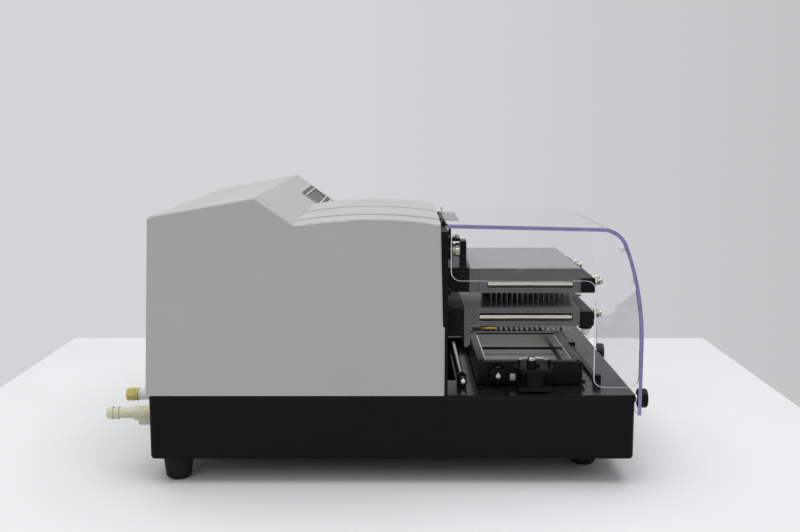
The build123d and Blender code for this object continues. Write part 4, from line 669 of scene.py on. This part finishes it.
# Cam latch: steel cap on the post, wire spring between two pegs, and a screw in the disk
POST_X, POST_Y, POST_HEIGHT = -7.5, 3.3, 9.0
SPRING_RADIUS, SPRING_RISE, SPRING_TURN, SPRING_WIRE = 13.0, 4.2, 84, 0.7
DISK_SCREW_X, DISK_SCREW_Y = 2.5, -2.0
low, high = mm_box("cam_latch")
mid = (low + high) / 2
disk_top = high.z - POST_HEIGHT
post_x, post_y = mid.x + POST_X, mid.y + POST_Y
cap = [(high.z - 2.0, 3.4), (high.z + 0.1, 3.4), (high.z + 0.9, 2.9), (high.z + 1.3, 1.6)]
bm = bmesh.new()
turned(bm, cap, facing((post_x, post_y, 0), (0, 0, 1)), sides=28)
piece("latch_post_cap", bm, BRIGHT_STEEL, "cam_latch")
arc = []
for i in range(-SPRING_TURN, SPRING_TURN + 1, 6):
    a = math.radians(i)
    out = Vector((SPRING_RADIUS * math.cos(a), SPRING_RADIUS * math.sin(a), SPRING_RISE))
    arc.append(Vector((mid.x, mid.y, disk_top)) + out)
bm = bmesh.new()
wire(bm, arc, SPRING_WIRE)
piece("latch_spring", bm, WIRE_GREY, "cam_latch")
peg = [(0.0, 1.4), (SPRING_RISE + 0.6, 1.2), (SPRING_RISE + 1.0, 0.8)]
bm = bmesh.new()
for end in (arc[0], arc[-1]):
    turned(bm, peg, facing((end.x, end.y, disk_top), (0, 0, 1)), sides=20)
turned(bm, [(0.0, 4.0), (6.6, 4.0), (7.2, 3.5)], facing((post_x, post_y, disk_top), (0, 0, 1)))
piece("latch_posts", bm, MATS["hinge_black"], "cam_latch")
disk_spot = facing((mid.x + DISK_SCREW_X, mid.y + DISK_SCREW_Y, disk_top), (0, 0, 1))
screws("latch_screw", [disk_spot], 3.0, 1.6, MATS["hinge_black"], "cam_latch")

# Trough knob: a turned face and a steel screw
low, high = mm_box("trough_knob")
mid = (low + high) / 2
face = [(-0.5, 4.6), (0.5, 4.6), (0.8, 4.2), (0.8, 3.0)]
bm = bmesh.new()
turned(bm, face, facing((low.x, mid.y, mid.z), (-1, 0, 0)), sides=36)
piece("knob_face", bm, MATS["hinge_black"], "trough_knob")
screws("knob_screw", [facing((low.x - 0.7, mid.y, mid.z), (-1, 0, 0))], 2.3, 1.3, BRIGHT_STEEL, "trough_knob")

# Stop block on the trough frame's left edge, between knob and latch, and the frame's corner screws
STOP_Y, STOP_Z, STOP_DEPTH, STOP_HEIGHT = -118.3, 85.0, 5.0, 5.6
CORNER_X, CORNER_Y = 3.8, 3.3
low, high = mm_box("trough_frame")
bm = bmesh.new()
slab(bm, STOP_DEPTH, STOP_HEIGHT, 0.6, -2.0, 2.4, facing((low.x, STOP_Y, STOP_Z), (-1, 0, 0)))
piece("trough_stop", bm, MATS["pulley_alloy"], "trough_frame")
places = [
    facing((x, y, high.z), (0, 0, 1))
    for y in (low.y + CORNER_Y, high.y - CORNER_Y)
    for x in (low.x + CORNER_X, high.x - CORNER_X)
]
screws("trough_screws", places, 1.8, 0.7, MATS["hinge_black"], "trough_frame")

# Painted shade: a dark ring round the liner's floor at the foot of its walls, where the walls' shadow falls
WALL_SHADE, WALL_SHADE_THICK, LINER_WALL, LINER_FLOOR = 1.6, 0.9, 1.6, 1.5
low, high = mm_box("trough_liner")
floor_z = low.z + LINER_FLOOR
length, width = high.x - low.x - 2 * LINER_WALL, high.y - low.y - 2 * LINER_WALL
bm = bmesh.new()
frame_ring(
    bm,
    (length, width, 1.6),
    (length - 2 * WALL_SHADE, width - 2 * WALL_SHADE, 0.9),
    floor_z,
    floor_z + WALL_SHADE_THICK,
    upright((low.x + high.x) / 2, (low.y + high.y) / 2),
)
piece("trough_wall_shade", bm, MATS["hinge_black"], "trough_liner")

# Guide rail: a steel sleeve on its near end, and the screws of its supports
SLEEVE_IN, SLEEVE_BORE = 6.2, 2.52
low, high = mm_box("rail_supports")
rail_low, rail_high = mm_box("guide_rail")
rail_y, rail_z = (low.y + high.y) / 2, (rail_low.z + rail_high.z) / 2
places = [facing((x, rail_y, high.z - 0.2), (0, 0, 1)) for x in (low.x + 3.0, high.x - 3.0)]
screws("rail_support_screws", places, 2.0, 1.4, MATS["hinge_black"], "rail_supports")
sleeve = [(0, 3.4), (0.4, 3.9), (4.2, 3.9), (4.6, 3.4), (4.6, SLEEVE_BORE), (0.0, SLEEVE_BORE)]
bm = bmesh.new()
turned(bm, sleeve, facing((low.x + SLEEVE_IN, rail_y, rail_z), (1, 0, 0)), sides=36, ring_closed=True)
piece("rail_sleeve", bm, BRIGHT_STEEL, "guide_rail")

# Screws of the bay wall, of the hinge's leaf and inside the shield behind each grip
BAY_SCREW_HEIGHTS, BAY_SCREW_IN = (212.0, 196.0, 163.0, 148.0), 5.0
low, high = mm_box("bay_bulkhead")
places = [
    facing((x, low.y, z), (0, -1, 0))
    for z in BAY_SCREW_HEIGHTS
    for x in (low.x + BAY_SCREW_IN, high.x - BAY_SCREW_IN)
]
screws("bay_screws", places, 3.2, 2.6, MATS["hinge_black"], "bay_bulkhead")
LEAF_SCREWS, LEAF_END, LEAF_TILT = 4, 8.0, 0.023
low, high = mm_box("hinge_leaf")
leaf_step = (high.x - low.x - 2 * LEAF_END) / (LEAF_SCREWS - 1)
places = [
    facing((low.x + LEAF_END + i * leaf_step, low.y + 5.6, low.z + 0.7), (0, LEAF_TILT, -1))
    for i in range(LEAF_SCREWS)
]
screws("hinge_screws", places, 2.4, 1.4, MATS["hinge_black"], "hinge_leaf")
GRIP_RADIUS = 8.0
low, high = mm_box("shield_grips")
grip_z = (low.z + high.z) / 2
bm = bmesh.new()
for x in (low.x + GRIP_RADIUS, high.x - GRIP_RADIUS):
    knurled(bm, 1.6, 4.4, GRIP_RADIUS - 0.15, facing((x, low.y, grip_z), (0, 1, 0)), teeth=36, depth=0.14)
piece("grip_rings", bm, MATS["grip_black"], "shield_grips")
places = [facing((x, high.y, grip_z), (0, 1, 0)) for x in (low.x + GRIP_RADIUS, high.x - GRIP_RADIUS)]
screws("grip_screws", places, 3.4, 1.5, BRIGHT_STEEL, "shield_grips")

# Console overlay, in a frame whose local Y runs up the slope and whose Z stands on it
SLOPE = math.radians(34.8)
OVERLAY_LENGTH, OVERLAY_THICK = 128.0, 0.8
DISPLAY_DOWN, DISPLAY_DEPTH, DISPLAY_WIDTH = 9.0, 13.5, 106.0
PRINT_MARGIN, PRINT_THICK, BORDER = 1.0, 0.12, 4.0
low, high = mm_box("keypad_overlay")
print_width = high.x - low.x - PRINT_MARGIN
along = Vector((0, math.cos(SLOPE), math.sin(SLOPE)))
normal = Vector((0, -math.sin(SLOPE), math.cos(SLOPE)))
top_edge = Vector(((low.x + high.x) / 2, high.y, high.z - OVERLAY_THICK * math.cos(SLOPE)))
slope_turn = Matrix(((1, 0, 0), (0, along.y, normal.y), (0, along.z, normal.z))).to_4x4()
console = Matrix.Translation(top_edge + normal * OVERLAY_THICK) @ slope_turn


def on_console(x, down):
    """A place on the overlay's face: x from its middle and down from its top edge."""
    return console @ Matrix.Translation((x, -down, 0))


def grown(by, radius):
    """The display window's width and depth, grown, and a corner radius."""
    return DISPLAY_WIDTH + by, DISPLAY_DEPTH + by, radius


keypad_top = 2 * DISPLAY_DOWN + DISPLAY_DEPTH
display_mid = on_console(0, DISPLAY_DOWN + DISPLAY_DEPTH / 2)
bm = bmesh.new()
frame_ring(bm, (print_width, keypad_top - 5.0, 3.0), grown(-0.6, 0.6), 0.0, PRINT_THICK, display_mid)
piece("overlay_display_band", bm, PRINT_BLACK, "keypad_overlay")
bm = bmesh.new()
frame_ring(bm, grown(3.6, 3.0), grown(1.6, 0.6), 0.1, 0.2, display_mid)
piece("overlay_window_line", bm, KEY_GREY, "keypad_overlay")
keypad_depth = OVERLAY_LENGTH - keypad_top - 2.0
keypad_mid = on_console(0, keypad_top + keypad_depth / 2)
bm = bmesh.new()
border_hole = (print_width - BORDER, keypad_depth - BORDER, 0.6)
frame_ring(bm, (print_width, keypad_depth, 3.0), border_hole, 0.0, PRINT_THICK, keypad_mid)
piece("overlay_border", bm, PRINT_BLACK, "keypad_overlay")

# Blank keys of the membrane, each with a printed line round it
KEY_WIDTH, KEY_DEPTH, KEY_RADIUS, KEY_THICK = 15.0, 11.0, 2.0, 0.7
KEY_COLUMNS, KEY_ROWS, KEY_STEP_X, KEY_STEP_Y, KEY_FIRST = 5, 4, 20.5, 19.5, 15.0
LINE_OUT, LINE_IN, LINE_THICK = (2.0, 2.8), (0.9, 2.3), 0.15
key_places = [
    on_console((column - (KEY_COLUMNS - 1) / 2) * KEY_STEP_X, keypad_top + KEY_FIRST + row * KEY_STEP_Y)
    for row in range(KEY_ROWS)
    for column in range(KEY_COLUMNS)
]
bm = bmesh.new()
for place in key_places:
    slab(bm, KEY_WIDTH, KEY_DEPTH, KEY_RADIUS, 0.0, KEY_THICK, place, edge=0.35)
piece("overlay_keys", bm, MATS["cover_grey"], "keypad_overlay")
bm = bmesh.new()
for place in key_places:
    outer, inner = [(KEY_WIDTH + by, KEY_DEPTH + by, radius) for by, radius in (LINE_OUT, LINE_IN)]
    frame_ring(bm, outer, inner, 0.0, LINE_THICK, place)
piece("overlay_key_lines", bm, PRINT_BLACK, "keypad_overlay")

# Hood: the second low step of its arched top, on the arc through three points (y, z) of the cover
HOOD_REAR, HOOD_CROWN, HOOD_FRONT = (63.35, 218.63), (4.05, 223.87), (-55.25, 219.3)
STEP_RISE, STEP_SINK, STEP_EDGE, STEP_EDGE_DROP = 0.8, 0.3, 0.3, 0.25
STEP_LEFT, STEP_RIGHT, STEP_FRONT_IN = 106.8, 192.2, 0.3
ARC_STEPS = 40


def circle_through(a, b, c):
    """Middle and radius of the circle through three points."""
    (ax, ay), (bx, by), (cx, cy) = a, b, c
    d = 2 * (ax * (by - cy) + bx * (cy - ay) + cx * (ay - by))
    sa, sb, sc = ax * ax + ay * ay, bx * bx + by * by, cx * cx + cy * cy
    ux = (sa * (by - cy) + sb * (cy - ay) + sc * (ay - by)) / d
    uy = (sa * (cx - bx) + sb * (ax - cx) + sc * (bx - ax)) / d
    return ux, uy, math.hypot(ax - ux, ay - uy)


low, high = mm_box("main_cover")
left, right = low.x + STEP_LEFT, low.x + STEP_RIGHT
arc_y, arc_z, arc_radius = circle_through(HOOD_REAR, HOOD_CROWN, HOOD_FRONT)
rings = []
for i in range(ARC_STEPS + 1):
    y = HOOD_REAR[0] + (HOOD_FRONT[0] + STEP_FRONT_IN - HOOD_REAR[0]) * i / ARC_STEPS
    z = arc_z + math.sqrt(arc_radius**2 - (y - arc_y) ** 2)
    bottom, top = z + STEP_RISE - STEP_SINK, z + 2 * STEP_RISE
    rings.append(
        [
            (left, y, bottom),
            (left, y, top - STEP_EDGE_DROP),
            (left + STEP_EDGE, y, top),
            (right - STEP_EDGE, y, top),
            (right, y, top - STEP_EDGE_DROP),
            (right, y, bottom),
        ]
    )
bm = bmesh.new()
loft(bm, rings)
piece("hood_upper_step", bm, MATS["cover_grey"], "main_cover")

# Rear couplings: the vent's stem and cap, and a nut on the two hose couplings
INNER_NUT, PAN_WALL, CAP_LENGTH, CAP_KNURL = 3.0, 3.0, 10.3, 2.2
COUPLING_NUTS = (("inlet_coupling", 7.2), ("waste_coupling", 6.9))
low, high = mm_box("vent_coupling")
mid = (low + high) / 2
wall_y = low.y + INNER_NUT + PAN_WALL
cap_start, cap_end = high.y - wall_y - CAP_LENGTH, high.y - wall_y
stem = [(-6.0, 7.0), (-3.0, 7.0), (-3.0, 4.0), (0, 4.0), (0, 5.3), (3.0, 5.3), (3.4, 4.9), (cap_start, 4.9)]
spot = facing((mid.x, wall_y, mid.z), (0, 1, 0))
bm = bmesh.new()
turned(bm, stem, spot, sides=36)
piece("vent_stem", bm, MATS["fitting_white"], "vent_coupling", ["vent_coupling"])
bm = bmesh.new()
knurled(bm, cap_start, cap_start + CAP_KNURL, 5.6, spot, depth=0.12)
hex_nut(bm, cap_start + CAP_KNURL, cap_end, 5.8, spot, chamfer=0.7)
piece("vent_cap", bm, MATS["fitting_yellow"], "vent_coupling")
for like, radius in COUPLING_NUTS:
    low, high = mm_box(like)
    mid = (low + high) / 2
    bm = bmesh.new()
    hex_nut(bm, 0.05, 4.4, radius, facing((mid.x, wall_y, mid.z), (0, 1, 0)))
    piece(like + "_nut", bm, MATS[SLOT_OF[like]], like)

# Mains inlet: blades and fixing screws
BLADE_PLACES = ((-7.0, 1.8), (0.0, -2.6), (7.0, 1.8))
BLADE_WIDTH, BLADE_HEIGHT, BLADE_START, BLADE_END = 2.0, 5.0, -15.0, -1.5
INLET_SCREW_X = 16.2
low, high = mm_box("power_entry_module")
mid = (low + high) / 2
bm = bmesh.new()
for x, z in BLADE_PLACES:
    spot = facing((mid.x + x, high.y, mid.z + z), (0, 1, 0))
    slab(bm, BLADE_WIDTH, BLADE_HEIGHT, 0.4, BLADE_START, BLADE_END, spot)
piece("inlet_pins", bm, MATS["ground_steel"], "power_entry_module")
places = [facing((mid.x + x, high.y, mid.z), (0, 1, 0)) for x in (-INLET_SCREW_X, INLET_SCREW_X)]
screws("inlet_screws", places, 1.4, 0.6, BRIGHT_STEEL, "power_entry_module")

# Serial port: insulator, two rows of contacts and hex posts
CONTACT_ROWS, CONTACT_STEP = ((1.42, 5), (-1.42, 4)), 2.76
HEX_POST_X, HEX_POST_IN = 12.5, 2.5
contact = [(-2.3, 0.5), (-0.8, 0.5), (-0.5, 0.3)]
low, high = mm_box("serial_port")
mid = (low + high) / 2
bm = bmesh.new()
slab(bm, 15.6, 5.6, 1.6, -3.2, -2.2, facing((mid.x, high.y, mid.z), (0, 1, 0)), edge=0.2)
piece("port_insulator", bm, MATS["motor_black"], "serial_port")
bm = bmesh.new()
for z, count in CONTACT_ROWS:
    for i in range(count):
        x = (i - (count - 1) / 2) * CONTACT_STEP
        turned(bm, contact, facing((mid.x + x, high.y, mid.z + z), (0, 1, 0)), sides=12)
piece("port_pins", bm, PIN_BRASS, "serial_port")
bm = bmesh.new()
for x in (-HEX_POST_X, HEX_POST_X):
    spot = facing((mid.x + x, high.y - HEX_POST_IN, mid.z), (0, 1, 0))
    hex_nut(bm, 0.0, 4.0, 2.7, spot)
    turned(bm, [(4.0, 1.7), (4.4, 1.6), (4.4, 1.2), (2.0, 1.2)], spot, sides=20)
piece("port_posts", bm, BRIGHT_STEEL, "serial_port")

# Screws in the underside, and in the cover's rear wall near its lower edge
PAN_SIDE_IN, PAN_FRONT_IN, PAN_REAR_IN = 45.0, 14.0, 40.0
COVER_SIDE_IN, COVER_SCREW_UP, COVER_LEAN = 30.0, 9.0, 0.042
low, high = mm_box("base_pan")
places = [
    facing((x, y, low.z), (0, 0, -1))
    for x in (low.x + PAN_SIDE_IN, 0.0, high.x - PAN_SIDE_IN)
    for y in (low.y + PAN_FRONT_IN, high.y - PAN_REAR_IN)
]
screws("pan_screws", places, 3.4, 1.8, MATS["ground_steel"], "base_pan")
low, high = mm_box("main_cover")
places = [
    facing((x, high.y - 0.35, low.z + COVER_SCREW_UP), (0, 1, COVER_LEAN))
    for x in (low.x + COVER_SIDE_IN, 0.0, high.x - COVER_SIDE_IN)
]
screws("cover_screws", places, 3.0, 1.6, MATS["ground_steel"], "main_cover")

# Floor, a table that ends where the photograph's does
TABLE_NEAR, TABLE_FAR, TABLE_FRONT, TABLE_REAR = -2.4, 0.41, -0.447, 0.434
FLOOR_GREY, FLOOR_MOTTLE = 0.70, 0.03
corners = [
    (TABLE_NEAR, TABLE_FRONT, 0),
    (TABLE_FAR, TABLE_FRONT, 0),
    (TABLE_FAR, TABLE_REAR, 0),
    (TABLE_NEAR, TABLE_REAR, 0),
]
floor_mat, t, b = new_material("floor")
b.inputs["Roughness"].default_value = 0.9
b.inputs["Specular IOR Level"].default_value = 0.1
co = node(t, "ShaderNodeTexCoord")
soft = node(t, "ShaderNodeTexNoise", in_Scale=6.0, in_Detail=2.0)
link(t, co, "Object", soft, "Vector")
tones = [(FLOOR_GREY * tone,) * 3 for tone in (1 - FLOOR_MOTTLE, 1 + FLOOR_MOTTLE)]
link(t, colored(t, soft, "Fac", *tones), "Color", b, "Base Color")
me = bpy.data.meshes.new("floor")
me.from_pydata(corners, [], [(0, 1, 2, 3)])
me.materials.append(seen_from_outside(floor_mat))
floor = bpy.data.objects.new("floor", me)
bpy.context.scene.collection.objects.link(floor)

# Three soft lamps: name, place, what it points at, size of its square and power in watts
LAMPS = (
    ("top", (0.0, 0.1, 1.7), (0, 0, 0), 2.2, 34),
    ("front_left", (-1.9, 0.9, 1.2), (0, 0, 0.1), 1.2, 8),
    ("front_right", (-1.6, -1.5, 1.1), (0, -0.1, 0.1), 1.1, 5),
)
for name, place, target, size, power in LAMPS:
    lamp_data = bpy.data.lights.new(name, "AREA")
    lamp_data.shape = "RECTANGLE"
    lamp_data.size = size
    lamp_data.size_y = size
    lamp_data.energy = power
    lamp = bpy.data.objects.new(name, lamp_data)
    bpy.context.scene.collection.objects.link(lamp)
    lamp.location = place
    lamp.rotation_mode = "QUATERNION"
    lamp.rotation_quaternion = (Vector(target) - Vector(place)).to_track_quat("-Z", "Y")

# World: soft light from all round, and a pale background, darker towards -Y, for camera, gloss and glass
WORLD_LIGHT, WORLD_STRENGTH = (0.9, 0.92, 0.95, 1), 0.45
SHOWN_DARK, SHOWN_PALE = (0.53, 0.535, 0.54), (0.655, 0.66, 0.67)
DARK_BELOW, PALE_ABOVE = -0.45, 0.05
world = bpy.data.worlds.new("world")
world.use_nodes = True
t = world.node_tree
lit = t.nodes["Background"]
lit.inputs["Color"].default_value = WORLD_LIGHT
lit.inputs["Strength"].default_value = WORLD_STRENGTH
co = node(t, "ShaderNodeTexCoord")
parts = node(t, "ShaderNodeSeparateXYZ")
shown = node(t, "ShaderNodeBackground")
path = node(t, "ShaderNodeLightPath")
first = node(t, "ShaderNodeMath", operation="MAXIMUM")
second = node(t, "ShaderNodeMath", operation="MAXIMUM")
both = node(t, "ShaderNodeMixShader")
link(t, co, "Generated", parts, "Vector")
side = mapped(t, parts, "Y", DARK_BELOW, PALE_ABOVE)
link(t, colored(t, side, "Result", SHOWN_DARK, SHOWN_PALE), "Color", shown, "Color")
link(t, path, "Is Camera Ray", first, 0)
link(t, path, "Is Glossy Ray", first, 1)
link(t, first, "Value", second, 0)
link(t, path, "Is Transmission Ray", second, 1)
link(t, second, "Value", both, "Fac")
link(t, lit, "Background", both, 1)
link(t, shown, "Background", both, 2)
link(t, both, "Shader", t.nodes["World Output"], "Surface")
bpy.context.scene.world = world
